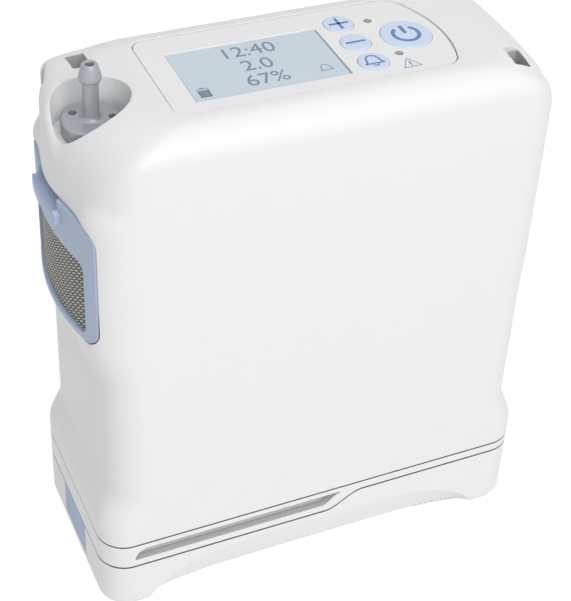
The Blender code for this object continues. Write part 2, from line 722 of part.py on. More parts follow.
def screw_places():
    return [(x, y) for x in (-SCREW_X, SCREW_X) for y in (-SCREW_Y, SCREW_Y)]


def panel_outline(inset):
    """Outline of the control panel: a rounded rectangle whose right edge bows outwards."""
    left = PANEL_LEFT + inset
    right = PANEL_RIGHT - inset
    steps = 4
    plain = rounded_outline(left, right, PANEL_FRONT + inset, PANEL_REAR - inset, PANEL_CORNER - inset / 2,
                            steps)
    start = plain[steps][1]
    end = plain[steps + 1][1]
    plain[steps + 1:steps + 1] = [(right, start + (end - start) * share) for share in (0.2, 0.5, 0.8)]
    points = []
    for u, v in plain:
        across = max((u - left) / (right - left), 0.0)
        points.append((u - PANEL_BOW * ((v - PANEL_BOW_Y) / PANEL_BOW_SPAN) ** 2 * across ** 4, v))
    return points


def filter_outline(inset):
    return rounded_outline(-FILTER_HALF_SPAN + inset, FILTER_HALF_SPAN - inset, FILTER_LOW + inset,
                           FILTER_HIGH - inset, FILTER_CORNER - inset)


def mesh_outline(inset):
    return rounded_outline(-MESH_HALF_SPAN + inset, MESH_HALF_SPAN - inset, MESH_LOW + inset,
                           MESH_HIGH - inset, MESH_CORNER - inset, 4)


def side_box(name, side, near, far, y, half, low, high):
    """Box that runs between two distances from the middle, on the left (-1) or the right (1)."""
    start = min(side * near, side * far)
    end = max(side * near, side * far)
    return box(name, (start, y - half, low), (end, y + half, high))


def make_upper_housing():
    housing = body_solid("upper_housing", 0.0, SEAM_UPPER + SEAM / 2, HOUSING_TOP, HOUSING_FINISH)
    boolean(housing, housing_cavity())
    boolean(housing, rod("well", (NOZZLE_X, NOZZLE_Y, WELL_FLOOR), HOUSING_TOP - WELL_FLOOR + CUT_OVER,
                         WELL_RADIUS, sides=WELL_ROUND))
    boolean(housing, rod("spigot_hole", (NOZZLE_X, NOZZLE_Y, WELL_FLOOR - 2 * WELL_WALL), 3 * WELL_WALL,
                         SPIGOT_RADIUS + GAP, sides=SMALL_ROUND))
    boolean(housing, outline_plate("panel_pocket", panel_outline(-GAP), PANEL_BACK - GAP,
                                   HOUSING_TOP + CUT_OVER))
    boolean(housing, outline_plate("panel_opening", panel_outline(PANEL_LEDGE), ROOF_BELOW - CUT_OVER,
                                   PANEL_FACE))
    boolean(housing, outline_plate("filter_recess", filter_outline(-GAP), -FILTER_FACE - CUT_OVER,
                                   -FILTER_BACK + GAP, "YZ"))
    boolean(housing, outline_plate("filter_window", mesh_outline(0.0), -FILTER_BACK - CUT_OVER,
                                   -FILTER_BACK + FILTER_SEAT + CUT_OVER, "YZ"))
    boolean(housing, rod("dc_hole", (WAIST_HALF_WIDTH - 2 * WALL, DC_Y, SOCKETS_Z), 4 * WALL,
                         DC_RADIUS + GAP, axis="X", sides=SMALL_ROUND))
    half = (USB_WIDTH / 2 + GAP, USB_HEIGHT / 2 + GAP)
    boolean(housing, box("usb_hole", (WAIST_HALF_WIDTH - 2 * WALL, USB_Y - half[0], SOCKETS_Z - half[1]),
                         (WAIST_HALF_WIDTH + 2 * WALL, USB_Y + half[0], SOCKETS_Z + half[1])))
    for x, y in screw_places():
        boolean(housing, rod("screw_bore", (x, y, SEAM_UPPER - MM), SCREW_LENGTH, SCREW_RADIUS + GAP,
                             sides=TINY_ROUND))
    for side, (x, y) in STRAP_PLACES.items():
        hole = side_box("strap_hole", side, abs(x) - STRAP_WIDTH / 2, abs(x) + STRAP_WIDTH / 2, y,
                        STRAP_SPAN / 2, STRAP_FLOOR, HOUSING_TOP + CUT_OVER)
        bevel(hole, STRAP_EDGE, 2)
        boolean(housing, hole)
        boolean(housing, side_box("strap_mouth", side, abs(x), WAIST_HALF_WIDTH + WELL_BULGE + CUT_OVER, y,
                                  STRAP_SPAN / 2, STRAP_FLOOR, STRAP_FLOOR + STRAP_MOUTHS[side]))


def housing_cavity():
    """Space inside the housing, less the walls that stand in it."""
    cavity = body_solid("housing_cavity", WALL, SEAM_UPPER - CUT_OVER, ROOF_BELOW)
    walls = [rod("well_wall", (NOZZLE_X, NOZZLE_Y, WELL_FLOOR - WELL_WALL), HOUSING_TOP - WELL_FLOOR,
                 WELL_RADIUS + WELL_WALL)]
    for side, (x, y) in STRAP_PLACES.items():
        walls.append(side_box("strap_block", side, abs(x) - STRAP_WIDTH / 2 - STRAP_WALL,
                              WAIST_HALF_WIDTH + WELL_BULGE, y, STRAP_SPAN / 2 + STRAP_WALL,
                              STRAP_FLOOR - STRAP_WALL, HOUSING_TOP))
    half = FILTER_HALF_SPAN + FILTER_LAND
    walls.append(box("filter_seat", (-FILTER_FACE - CUT_OVER, -half, FILTER_LOW - FILTER_LAND),
                     (-FILTER_BACK + FILTER_SEAT, half, FILTER_HIGH + FILTER_LAND)))
    for x, y in screw_places():
        walls.append(rod("screw_boss", (x, y, SEAM_UPPER), SCREW_BOSS_HEIGHT, SCREW_BOSS, sides=TINY_ROUND))
    for wall in walls:
        boolean(cavity, wall)
    return cavity


def bowed_slab(name, outer, inner):
    """Upright slab between two arcs in plan, bowed towards -X: the filter's faces."""
    span = FILTER_HALF_SPAN + CUT_OVER

    def arc(face):
        shares = [2 * step / FILTER_ARC_STEPS - 1 for step in range(FILTER_ARC_STEPS + 1)]
        ys = [span * share for share in shares]
        return [(FILTER_ARC - face - math.sqrt(FILTER_ARC ** 2 - y * y), y) for y in ys]

    if inner is None:
        back = [(-FILTER_BACK + CUT_OVER, span), (-FILTER_BACK + CUT_OVER, -span)]
    else:
        back = arc(inner)[::-1]
    return outline_plate(name, arc(outer) + back, FILTER_LOW - CUT_OVER, FILTER_HIGH + CUT_OVER)


def make_intake_filter():
    frame = outline_plate("intake_filter_frame", filter_outline(0.0), -FILTER_FACE - CUT_OVER,
                          -FILTER_BACK, "YZ", FILTER_FINISH)
    boolean(frame, bowed_slab("filter_face", FILTER_FACE, None), "INTERSECT")
    lip = box("filter_lip", (-FILTER_FACE - TAB_STAND, -TAB_HALF_SPAN, TAB_LOW),
              (-FILTER_BACK - MM, TAB_HALF_SPAN, TAB_HIGH))
    bevel(lip, TAB_EDGE, 2)
    boolean(frame, lip, "UNION")
    pocket = box("filter_pocket",
                 (-FILTER_FACE - 2 * CUT_OVER, -TAB_HALF_SPAN + POCKET_SIDE, TAB_HIGH - POCKET_BELOW),
                 (-FILTER_FACE + POCKET_DEPTH, TAB_HALF_SPAN - POCKET_SIDE, FILTER_HIGH + CUT_OVER))
    bevel(pocket, TAB_EDGE, 2)
    boolean(frame, pocket)
    boolean(frame, outline_plate("mesh_window", mesh_outline(0.0), -FILTER_FACE - CUT_OVER,
                                 -FILTER_BACK + CUT_OVER, "YZ"))

    mesh = outline_plate("intake_filter_mesh", mesh_outline(GAP), -FILTER_FACE - CUT_OVER, -FILTER_BACK,
                         "YZ", MESH_FINISH)
    boolean(mesh, bowed_slab("mesh_faces", FILTER_FACE - MESH_SINK, FILTER_FACE - MESH_SINK - MESH_THICK),
            "INTERSECT")
    outline_plate("intake_filter_foam", mesh_outline(GAP), -FILTER_BACK - FOAM_THICK, -FILTER_BACK,
                  "YZ", FOAM_FINISH)


def make_lower_housing():
    outline = rounded_outline(-BASE_HALF_WIDTH, BASE_HALF_WIDTH, -HALF_DEPTH, HALF_DEPTH, BASE_CORNER)
    tray = outline_plate("lower_housing", outline, SEAM_LEFT - MM, TRAY_TOP, "XY", HOUSING_FINISH)
    boolean(tray, tray_and_battery_split("below_tray", SEAM / 2, False))
    pocket = rounded_outline(-BASE_HALF_WIDTH + TRAY_WALL + CELL_EDGE, STEP_START - TRAY_WALL / 2,
                             -HALF_DEPTH + TRAY_WALL, HALF_DEPTH - TRAY_WALL, TRAY_CORNER, 3)
    boolean(tray, outline_plate("tray_pocket", pocket, TRAY_FLOOR, TRAY_TOP + CUT_OVER))
    boolean(tray, outline_plate("exhaust_slot", slot_outline(0.0), -HALF_DEPTH - CUT_OVER,
                                -HALF_DEPTH + SLOT_DEPTH, "XZ"))
    for x, y in screw_places():
        seat = seam_height(x) + SEAM / 2 + SCREW_HEAD_THICK + 2 * GAP
        boolean(tray, rod("screw_pass", (x, y, SEAM_LEFT - MM), SEAM_UPPER, SCREW_RADIUS + GAP,
                          sides=TINY_ROUND))
        boolean(tray, rod("screw_recess", (x, y, SEAM_LEFT - CUT_OVER), seat - SEAM_LEFT + CUT_OVER,
                          SCREW_HEAD + GAP, sides=TINY_ROUND))
    low, high = battery_socket_corners(GAP)
    boolean(tray, box("socket_hole", low - Vector((0, 0, CUT_OVER)), high))
    low, high = battery_socket_corners(0.0)
    box("battery_socket", low, high, BRASS_FINISH)
    outline_plate("exhaust_grille", slot_outline(GAP), -HALF_DEPTH + GRILLE_DEPTH,
                  -HALF_DEPTH + GRILLE_DEPTH + GRILLE_THICK, "XZ", GRILLE_FINISH)
    for index, (x, y) in enumerate(screw_places()):
        base = seam_height(x) + SEAM / 2 + GAP
        screw = rod(f"housing_screw_{index + 1}", (x, y, base), SCREW_HEAD_THICK, SCREW_HEAD, STEEL_FINISH,
                    sides=TINY_ROUND)
        length = SEAM_UPPER + SCREW_LENGTH - 2 * MM - base
        boolean(screw, rod("screw_shank", (x, y, base + SCREW_HEAD_THICK / 2), length, SCREW_RADIUS,
                           sides=TINY_ROUND), "UNION")


def slot_outline(inset):
    """Long exhaust slot: rounded left tip, right end that follows the step in the joint below it."""
    height = SLOT_HIGH - SLOT_LOW
    points = [(SLOT_LEFT, SLOT_LOW)]
    start = STEP_START - 1.5 * MM
    for step in range(6):
        x = start + (SLOT_RIGHT - start) * step / 5
        points.append((x, SLOT_LOW + height * 0.9 * ease(x, start, SLOT_RIGHT)))
    points.append((SLOT_RIGHT - 0.4 * MM, SLOT_HIGH))
    for step in range(1, 4):
        angle = math.pi / 2 * step / 4
        points.append((SLOT_LEFT + height * (1 - math.sin(angle)), SLOT_LOW + height * math.cos(angle)))
    return drawn_in(points, inset)


def drawn_in(points, amount):
    """Counter-clockwise outline moved inwards by the same amount all round."""
    made = []
    count = len(points)
    for index in range(count):
        here = Vector(points[index])
        before = (here - Vector(points[index - 1])).normalized()
        after = (Vector(points[(index + 1) % count]) - here).normalized()
        inward = Vector((-before.y - after.y, before.x + after.x))
        share = inward.length_squared / 2
        made.append(tuple(here + inward * (amount / share)))
    return made


def battery_socket_corners(grow):
    low = Vector((CONTACT_X - SOCKET_HALF[0] - grow, -SOCKET_HALF[1] - grow, SEAM_RIGHT + SEAM / 2))
    high = Vector((CONTACT_X + SOCKET_HALF[0] + grow, SOCKET_HALF[1] + grow, TRAY_TOP - SOCKET_COVER + grow))
    return low, high


def arch_cutter(name, side):
    """Scooped undercut along the foot of the battery's front or rear face."""
    sections = []
    outer = HALF_DEPTH + 2 * CUT_OVER
    for step in range(ARCH_STEPS + 1):
        reach = math.sin(math.pi * (step / ARCH_STEPS - 0.5))
        curve = 1 - abs(reach) ** ARCH_POWER
        height = ARCH_END + (ARCH_HEIGHT - ARCH_END) * curve
        depth = ARCH_END + (ARCH_DEPTH - ARCH_END) * math.sqrt(curve)
        slope = depth / height
        x = ARCH_HALF_WIDTH * reach
        sections.append([
            (x, side * outer, height + 2 * CUT_OVER / slope),
            (x, side * outer, -CUT_OVER),
            (x, side * (HALF_DEPTH - depth - CUT_OVER * slope), -CUT_OVER),
        ])
    return loft(name, sections)


def make_battery():
    rings = []
    for step in range(4):
        angle = math.pi / 2 * step / 3
        inset = BATTERY_EDGE * (1 - math.sin(angle))
        z = BATTERY_EDGE * (1 - math.cos(angle))
        outline = rounded_outline(-BASE_HALF_WIDTH + inset, BASE_HALF_WIDTH - inset, -HALF_DEPTH + inset,
                                  HALF_DEPTH - inset, BASE_CORNER - inset * 0.6)
        rings.append([(u, v, z) for u, v in outline])
    rings.append([(x, y, SEAM_RIGHT + MM) for x, y, _ in rings[-1]])
    case = loft("battery_case", rings, HOUSING_FINISH)
    boolean(case, tray_and_battery_split("above_battery", -SEAM / 2, True))
    boolean(case, box("cell_bay", (-CAVITY_HALF_WIDTH, -CAVITY_HALF_DEPTH, BATTERY_FLOOR),
                      (CAVITY_HALF_WIDTH, CAVITY_HALF_DEPTH, SEAM_RIGHT + CUT_OVER)))
    boolean(case, lid_strip("lid_rebate", GAP, GAP, CUT_OVER))
    boolean(case, box("latch_recess",
                      (-BASE_HALF_WIDTH - CUT_OVER, -LATCH_HALF_WIDTH - GAP, LATCH_LOW - GAP),
                      (-LATCH_FLOOR, LATCH_HALF_WIDTH + GAP, SEAM_LEFT + CUT_OVER)))
    pin_reach = LATCH_HALF_WIDTH + LATCH_PIN_END + GAP
    boolean(case, rod("pin_bore", (-LATCH_PIN_X, -pin_reach, LATCH_PIN_Z), 2 * pin_reach,
                      LATCH_PIN_RADIUS + GAP, axis="Y", sides=TINY_ROUND))
    boolean(case, rod("spring_pocket", (-LATCH_FLOOR - MM, 0, LATCH_SPRING_Z), LATCH_SPRING_POCKET + MM,
                      LATCH_SPRING_RADIUS + 2 * GAP, axis="X", sides=16))
    boolean(case, arch_cutter("front_arch", -1))
    boolean(case, arch_cutter("rear_arch", 1))

    lid = lid_strip("battery_lid", 0.0, 0.0, 0.0, HOUSING_FINISH)
    low, high = contact_corners()
    grown = Vector((GAP, GAP, CUT_OVER))
    boolean(lid, box("contact_window", low - grown, high + grown))

    base = BATTERY_FLOOR + GAP
    for index in range(CELL_COUNT):
        x = (index - (CELL_COUNT - 1) / 2) * (CELL_LENGTH + CELL_SPACE)
        box(f"battery_cell_{index + 1}", (x - CELL_LENGTH / 2, -CELL_DEPTH / 2, base),
            (x + CELL_LENGTH / 2, CELL_DEPTH / 2, base + CELL_HEIGHT), CELL_FINISH, CELL_EDGE)
    board_low = base + CELL_HEIGHT + GAP
    board_half = CAVITY_HALF_DEPTH - BATTERY_BOARD_SIDE
    box("battery_board", (BATTERY_BOARD_LEFT, -board_half, board_low),
        (CAVITY_HALF_WIDTH - BATTERY_BOARD_END, board_half, board_low + BOARD_THICK), BOARD_FINISH)
    box("battery_contacts", (low.x, low.y, board_low + BOARD_THICK + GAP), high, BRASS_FINISH)


def contact_corners():
    top = SEAM_RIGHT - SEAM / 2
    low = Vector((CONTACT_X - CONTACT_HALF[0], -CONTACT_HALF[1], top - BATTERY_LID))
    high = Vector((CONTACT_X + CONTACT_HALF[0], CONTACT_HALF[1], top))
    return low, high


def lid_strip(name, grow, below, above, finish=None):
    """Plate that follows the stepped joint: the battery's lid, or its rebate when grown."""
    end = CAVITY_HALF_WIDTH + LID_LEDGE + grow
    half = CAVITY_HALF_DEPTH + LID_LEDGE + grow
    xs = [-end] + step_xs() + [end]
    top = [(x, seam_height(x) - SEAM / 2 + above) for x in xs]
    base = [(x, seam_height(x) - SEAM / 2 - BATTERY_LID - below) for x in reversed(xs)]
    return outline_plate(name, top + base, -half, half, "XZ", finish)


def make_latch():
    top = SEAM_LEFT - SEAM / 2 - GAP
    face = -BASE_HALF_WIDTH + LATCH_SINK
    pad = box("battery_latch", (face, -LATCH_HALF_WIDTH, LATCH_LOW),
              (face + LATCH_THICK, LATCH_HALF_WIDTH, top), LATCH_FINISH, LATCH_EDGE)
    pivot = Vector((-LATCH_PIN_X, 0.0, LATCH_PIN_Z))
    pad.data.transform(Matrix.Translation(pad.location - pivot))
    pad.location = pivot
    boolean(pad, rod("latch_barrel", (-LATCH_PIN_X, -LATCH_HALF_WIDTH, LATCH_PIN_Z), 2 * LATCH_HALF_WIDTH,
                     LATCH_BARREL, axis="Y", sides=16), "UNION")
    boolean(pad, rod("barrel_bore", (-LATCH_PIN_X, -LATCH_HALF_WIDTH - MM, LATCH_PIN_Z),
                     2 * LATCH_HALF_WIDTH + 2 * MM, LATCH_PIN_RADIUS + GAP, axis="Y", sides=TINY_ROUND))
    pin_reach = LATCH_HALF_WIDTH + LATCH_PIN_END
    rod("latch_pin", (-LATCH_PIN_X, -pin_reach, LATCH_PIN_Z), 2 * pin_reach, LATCH_PIN_RADIUS, STEEL_FINISH,
        "Y", TINY_ROUND)
    start = -LATCH_FLOOR + LATCH_SPRING_POCKET - LATCH_SPRING_WIRE - GAP / 2
    coil = LATCH_SPRING_RADIUS - LATCH_SPRING_WIRE
    corners = 8
    count = LATCH_SPRING_TURN_COUNT * corners
    points = []
    for step in range(count + 1):
        angle = 2 * math.pi * step / corners
        points.append((start - LATCH_SPRING_LENGTH * step / count, coil * math.cos(angle),
                       LATCH_SPRING_Z + coil * math.sin(angle)))
    tube("latch_spring", points, LATCH_SPRING_WIRE, STEEL_FINISH)


def make_panel():
    panel = outline_plate("control_panel", panel_outline(0.0), PANEL_BACK, PANEL_FACE, "XY", PANEL_FINISH)
    face = PANEL_FACE - SCREEN_SINK
    boolean(panel, box("screen_rebate", (SCREEN_LEFT - GAP, SCREEN_FRONT - GAP, face - SCREEN_THICK - GAP),
                       (SCREEN_RIGHT + GAP, SCREEN_REAR + GAP, HOUSING_TOP + CUT_OVER)))
    boolean(panel, box("screen_opening",
                       (SCREEN_LEFT + SCREEN_LEDGE, SCREEN_FRONT + SCREEN_LEDGE, PANEL_BACK - CUT_OVER),
                       (SCREEN_RIGHT - SCREEN_LEDGE, SCREEN_REAR - SCREEN_LEDGE, HOUSING_TOP)))
    through = PANEL_THICK + 2 * CUT_OVER
    for name, (x, y, radius) in BUTTONS.items():
        boolean(panel, rod(name + "_hole", (x, y, PANEL_BACK - CUT_OVER), through, radius + GAP))
    for name, (x, y) in LAMPS.items():
        boolean(panel, rod(name + "_hole", (x, y, PANEL_BACK - CUT_OVER), through, LAMP_RADIUS + GAP,
                           sides=TINY_ROUND))

    box("lcd_window", (SCREEN_LEFT, SCREEN_FRONT, face - SCREEN_THICK), (SCREEN_RIGHT, SCREEN_REAR, face),
        SCREEN_FINISH)
    box("lcd_module", (SCREEN_LEFT + MM, SCREEN_FRONT + MM, BOARD_TOP + GAP),
        (SCREEN_RIGHT - MM, SCREEN_REAR - MM, PANEL_BACK - GAP), BLACK_FINISH)
    for name, (x, y, radius) in BUTTONS.items():
        make_button(name, x, y, radius)
    for name, (x, y) in LAMPS.items():
        rod(name, (x, y, BOARD_TOP + GAP), PANEL_FACE - BOARD_TOP - GAP, LAMP_RADIUS, LAMP_FINISH,
            sides=TINY_ROUND)
    box("display_board", (PANEL_LEFT + BOARD_EDGE, PANEL_FRONT + BOARD_EDGE, BOARD_TOP - BOARD_THICK),
        (PANEL_RIGHT - BOARD_EDGE, PANEL_REAR - BOARD_EDGE, BOARD_TOP), BOARD_FINISH)
    make_keypad()
    speaker_top = BOARD_TOP - BOARD_THICK - GAP
    rod("speaker", (SPEAKER_X, 0, speaker_top - SPEAKER_THICK), SPEAKER_THICK, SPEAKER_RADIUS, BLACK_FINISH)


def make_button(name, x, y, radius):
    """Round cap with a flange under the panel and a stem over its switch; its origin is on its face."""
    face = PANEL_FACE + BUTTON_STAND
    flange = PANEL_BACK - GAP
    stem_end = SWITCH_TOP + BUTTON_TRAVEL + BUTTON_FREE
    profile = [
        (0.0, face),
        (radius - BUTTON_CHAMFER, face),
        (radius, face - BUTTON_CHAMFER),
        (radius, flange),
        (radius + BUTTON_FLANGE, flange),
        (radius + BUTTON_FLANGE, flange - BUTTON_FLANGE_THICK),
        (BUTTON_STEM, flange - BUTTON_FLANGE_THICK),
        (BUTTON_STEM, stem_end),
        (0.0, stem_end),
    ]
    turned(name, [(r, z - face) for r, z in profile], (x, y, face), BUTTON_FINISH)


def make_keypad():
    """Rubber mat with a dome over each switch."""
    low = BOARD_TOP + GAP
    pad = box("keypad", (KEYPAD_LEFT, PANEL_FRONT + KEYPAD_SIDE, low),
              (KEYPAD_RIGHT, PANEL_REAR - KEYPAD_SIDE, low + KEYPAD_THICK), RUBBER_FINISH)
    for name, (x, y, _) in BUTTONS.items():
        boolean(pad, rod(name + "_dome", (x, y, low + KEYPAD_THICK / 2), SWITCH_TOP - low - KEYPAD_THICK / 2,
                         DOME_RADIUS, sides=16, end_radius=DOME_TOP_RADIUS), "UNION")
    for name, (x, y) in LAMPS.items():
        boolean(pad, rod(name + "_pass", (x, y, BOARD_TOP), CUT_OVER, LAMP_RADIUS + GAP, sides=TINY_ROUND))


def make_nozzle():
    foot = WELL_FLOOR + GAP
    end = foot - SPIGOT_LENGTH
    profile = [
        (BARB_BORE, NOZZLE_TOP),
        (BARB_TIP, NOZZLE_TOP),
        (BARB_RADIUS, NOZZLE_TOP - BARB_LENGTH),
        (BARB_RADIUS, NOZZLE_TOP - BARB_LENGTH - BARB_LAND),
        (STEM_RADIUS, NOZZLE_TOP - BARB_LENGTH - BARB_LAND - BARB_BACK),
        (STEM_RADIUS, COLLAR_TOP + STEM_FOOT),
        (STEM_RADIUS + STEM_FOOT * 0.7, COLLAR_TOP + STEM_FOOT * 0.3),
        (STEM_RADIUS + STEM_FOOT, COLLAR_TOP),
        (COLLAR_RADIUS - COLLAR_EDGE, COLLAR_TOP),
        (COLLAR_RADIUS, COLLAR_TOP - COLLAR_EDGE),
        (COLLAR_RADIUS, foot),
        (SPIGOT_RADIUS, foot),
        (SPIGOT_RADIUS, RING_Z + RING_GROOVE),
        (RING_SEAT, RING_Z + RING_GROOVE),
        (RING_SEAT, RING_Z - RING_GROOVE),
        (SPIGOT_RADIUS, RING_Z - RING_GROOVE),
        (SPIGOT_RADIUS, end),
        (BARB_BORE, end),
    ]
    nozzle = turned("cannula_nozzle", [(r, z - foot) for r, z in profile], (NOZZLE_X, NOZZLE_Y, foot),
                    NOZZLE_FINISH)
    for turn in (SPANNER_TURN, SPANNER_TURN + math.pi):
        boolean(nozzle, rod("spanner_hole", (NOZZLE_X - SPANNER_REACH * math.cos(turn),
                                             NOZZLE_Y + SPANNER_REACH * math.sin(turn),
                                             COLLAR_TOP - SPANNER_DEPTH),
                            CUT_OVER, SPANNER_RADIUS, sides=TINY_ROUND))
    ring = []
    for step in range(6):
        angle = math.radians(60 * step)
        ring.append((RING_MAJOR + RING_RADIUS * math.cos(angle), -RING_RADIUS * math.sin(angle)))
    turned("nozzle_o_ring", ring, (NOZZLE_X, NOZZLE_Y, RING_Z), RUBBER_FINISH, sides=SMALL_ROUND)

    base = nozzle_socket_base()
    profile = [
        (SOCKET_BORE, base + SOCKET_LENGTH),
        (SOCKET_RADIUS, base + SOCKET_LENGTH),
        (SOCKET_RADIUS, base),
        (SOCKET_STUB_RADIUS, base),
        (SOCKET_STUB_RADIUS, base - SOCKET_STUB),
        (SOCKET_STUB_BORE, base - SOCKET_STUB),
        (SOCKET_STUB_BORE, base + SOCKET_BASE),
        (SOCKET_BORE, base + SOCKET_BASE),
    ]
    turned("nozzle_socket", [(r, z - base) for r, z in profile], (NOZZLE_X, NOZZLE_Y, base), BLACK_FINISH)
    rod("output_filter", (NOZZLE_X, NOZZLE_Y, base + SOCKET_BASE + GAP), OUTPUT_FILTER_THICK,
        SOCKET_BORE - GAP, FELT_FINISH)


def nozzle_socket_base():
    return WELL_FLOOR - WELL_WALL - GAP - SOCKET_LENGTH


def make_fan():
    front = -FILTER_BACK + FILTER_SEAT + GAP
    back = front + FAN_THICK
    frame = box("fan_frame", (front, -FAN_HALF, FAN_Z - FAN_HALF), (back, FAN_HALF, FAN_Z + FAN_HALF),
                BLACK_FINISH, FAN_EDGE)
    boolean(frame, rod("fan_bore", (front - CUT_OVER, 0, FAN_Z), FAN_THICK + 2 * CUT_OVER, FAN_BORE,
                       axis="X"))
    boolean(frame, rod("fan_hub_plate", (back - FAN_PLATE, 0, FAN_Z), FAN_PLATE, FAN_HUB, axis="X"), "UNION")
    for index in range(FAN_SPOKE_COUNT):
        spoke = box("fan_spoke", (-FAN_PLATE / 2, -FAN_SPOKE_HALF, FAN_HUB - MM),
                    (FAN_PLATE / 2, FAN_SPOKE_HALF, FAN_BORE + MM))
        spoke.data.transform(Matrix.Translation(spoke.location))
        spoke.location = (back - FAN_PLATE / 2, 0, FAN_Z)
        spoke.rotation_euler = (2 * math.pi * index / FAN_SPOKE_COUNT + FAN_SPOKE_TURN, 0, 0)
        boolean(frame, spoke, "UNION")
    boolean(frame, rod("fan_pin_hole", (back - FAN_PLATE - MM, 0, FAN_Z), FAN_PLATE + 2 * MM, FAN_PIN + GAP,
                       axis="X", sides=TINY_ROUND))
    hub_front = front + FAN_FREE
    hub_back = back - FAN_PLATE - GAP
    rotor = rod("fan_rotor", (hub_front, 0, FAN_Z), hub_back - hub_front, FAN_HUB, BLACK_FINISH, "X")
    boolean(rotor, rod("fan_pin", (hub_back - MM, 0, FAN_Z), MM + FAN_PLATE + GAP, FAN_PIN, axis="X",
                       sides=TINY_ROUND), "UNION")
    lean = Matrix.Rotation(math.radians(FAN_BLADE_ANGLE), 4, "Z")
    for index in range(FAN_BLADE_COUNT):
        blade = box("fan_blade", (-FAN_BLADE_THICK / 2, -FAN_BLADE_CHORD / 2, FAN_HUB - MM),
                    (FAN_BLADE_THICK / 2, FAN_BLADE_CHORD / 2, FAN_BORE - FAN_BLADE_TIP))
        blade.data.transform(lean @ Matrix.Translation(blade.location))
        blade.location = ((hub_front + hub_back) / 2, 0, FAN_Z)
        blade.rotation_euler = (2 * math.pi * index / FAN_BLADE_COUNT, 0, 0)
        boolean(rotor, blade, "UNION")


def cylinder_y():
    """How far along the shaft the cylinders stand."""
    return CRANK_Y + (CRANKCASE_LENGTH - CRANKCASE_BACK) / 2


def make_compressor():
    case = rod("crankcase", (CRANK_X, CRANK_Y, CRANK_Z), CRANKCASE_LENGTH, CRANKCASE_RADIUS, ALLOY_FINISH,
               "Y")
    boolean(case, rod("crankcase_bore", (CRANK_X, CRANK_Y - CUT_OVER, CRANK_Z),
                      CRANKCASE_LENGTH - CRANKCASE_BACK + CUT_OVER, CRANKCASE_BORE, axis="Y"))
    boolean(case, rod("shaft_hole", (CRANK_X, CRANK_Y, CRANK_Z), CRANKCASE_LENGTH + CUT_OVER,
                      SHAFT_RADIUS + GAP, axis="Y", sides=SMALL_ROUND))
    port = CRANKCASE_RADIUS - CRANKCASE_BORE + 2 * CRANKCASE_BACK
    for near in (CRANKCASE_BACK - CRANKCASE_BORE - port, CRANKCASE_BORE - CRANKCASE_BACK):
        boolean(case, rod("cylinder_port", (CRANK_X + near, cylinder_y(), CRANK_Z), port, HEAD_BORE,
                          axis="X", sides=16))
    rod("crankcase_cover", (CRANK_X, CRANK_Y - GAP - COVER_THICK, CRANK_Z), COVER_THICK, CRANKCASE_RADIUS,
        ALLOY_FINISH, "Y")
    make_head("cylinder_head_left", -1)
    make_head("cylinder_head_right", 1)

    start = CRANK_Y + SHAFT_START
    motor_start = CRANK_Y + CRANKCASE_LENGTH + GAP
    motor_end = motor_start + MOTOR_LENGTH
    shaft = rod("crank_shaft", (CRANK_X, start, CRANK_Z), motor_end - CRANKCASE_BACK - start, SHAFT_RADIUS,
                STEEL_FINISH, "Y", SMALL_ROUND)
    boolean(shaft, rod("crank_web", (CRANK_X, start, CRANK_Z), WEB_THICK, WEB_RADIUS, axis="Y"), "UNION")
    boolean(shaft, rod("crank_throw", (CRANK_X, start + WEB_THICK - GAP, CRANK_Z + THROW_OFFSET),
                       THROW_LENGTH + GAP, THROW_RADIUS, axis="Y", sides=16), "UNION")
    can = rod("motor_stator", (CRANK_X, motor_start, CRANK_Z), MOTOR_LENGTH, MOTOR_RADIUS, MOTOR_FINISH, "Y")
    boolean(can, rod("stator_bore", (CRANK_X, motor_start + MOTOR_BACK, CRANK_Z), MOTOR_LENGTH, MOTOR_BORE,
                     axis="Y"))
    boolean(can, rod("stator_shaft_hole", (CRANK_X, motor_start - CUT_OVER, CRANK_Z), 3 * CUT_OVER,
                     SHAFT_RADIUS + GAP, axis="Y", sides=SMALL_ROUND))
    rotor = rod("motor_rotor", (CRANK_X, motor_start + ROTOR_END, CRANK_Z), MOTOR_LENGTH - 2 * ROTOR_END,
                ROTOR_RADIUS, STEEL_FINISH, "Y")
    boolean(rotor, rod("rotor_hole", (CRANK_X, motor_start, CRANK_Z), MOTOR_LENGTH, SHAFT_RADIUS + GAP / 2,
                       axis="Y", sides=SMALL_ROUND))

    low = CRANK_Z - MOTOR_RADIUS - GAP - BRACKET_THICK
    box("compressor_bracket", (CRANK_X - BRACKET_HALF, CRANK_Y - COVER_THICK, low),
        (CRANK_X + BRACKET_HALF, motor_end, low + BRACKET_THICK), STEEL_FINISH)
    foot_start = CRANK_Y + ISOLATOR_START
    for name, side in (("rubber_isolator_left", -1), ("rubber_isolator_right", 1)):
        x = CRANK_X + side * ISOLATOR_X
        foot = box(name, (x - ISOLATOR_HALF, foot_start, TRAY_FLOOR + GAP),
                   (x + ISOLATOR_HALF, motor_end - MM, low - GAP), RUBBER_FINISH)
        boolean(foot, rod(name + "_hollow", (x - 2 * ISOLATOR_HALF, (foot_start + motor_end) / 2,
                                             (TRAY_FLOOR + low) / 2),
                          4 * ISOLATOR_HALF, ISOLATOR_HOLLOW, axis="X", sides=16))
    front = MUFFLER_START - HALF_DEPTH
    base = TRAY_FLOOR + GAP
    box("exhaust_muffler", (CRANK_X - MUFFLER_HALF, front, base),
        (CRANK_X + MUFFLER_HALF, front + MUFFLER_THICK, base + MUFFLER_HEIGHT), FOAM_FINISH, FAN_EDGE)


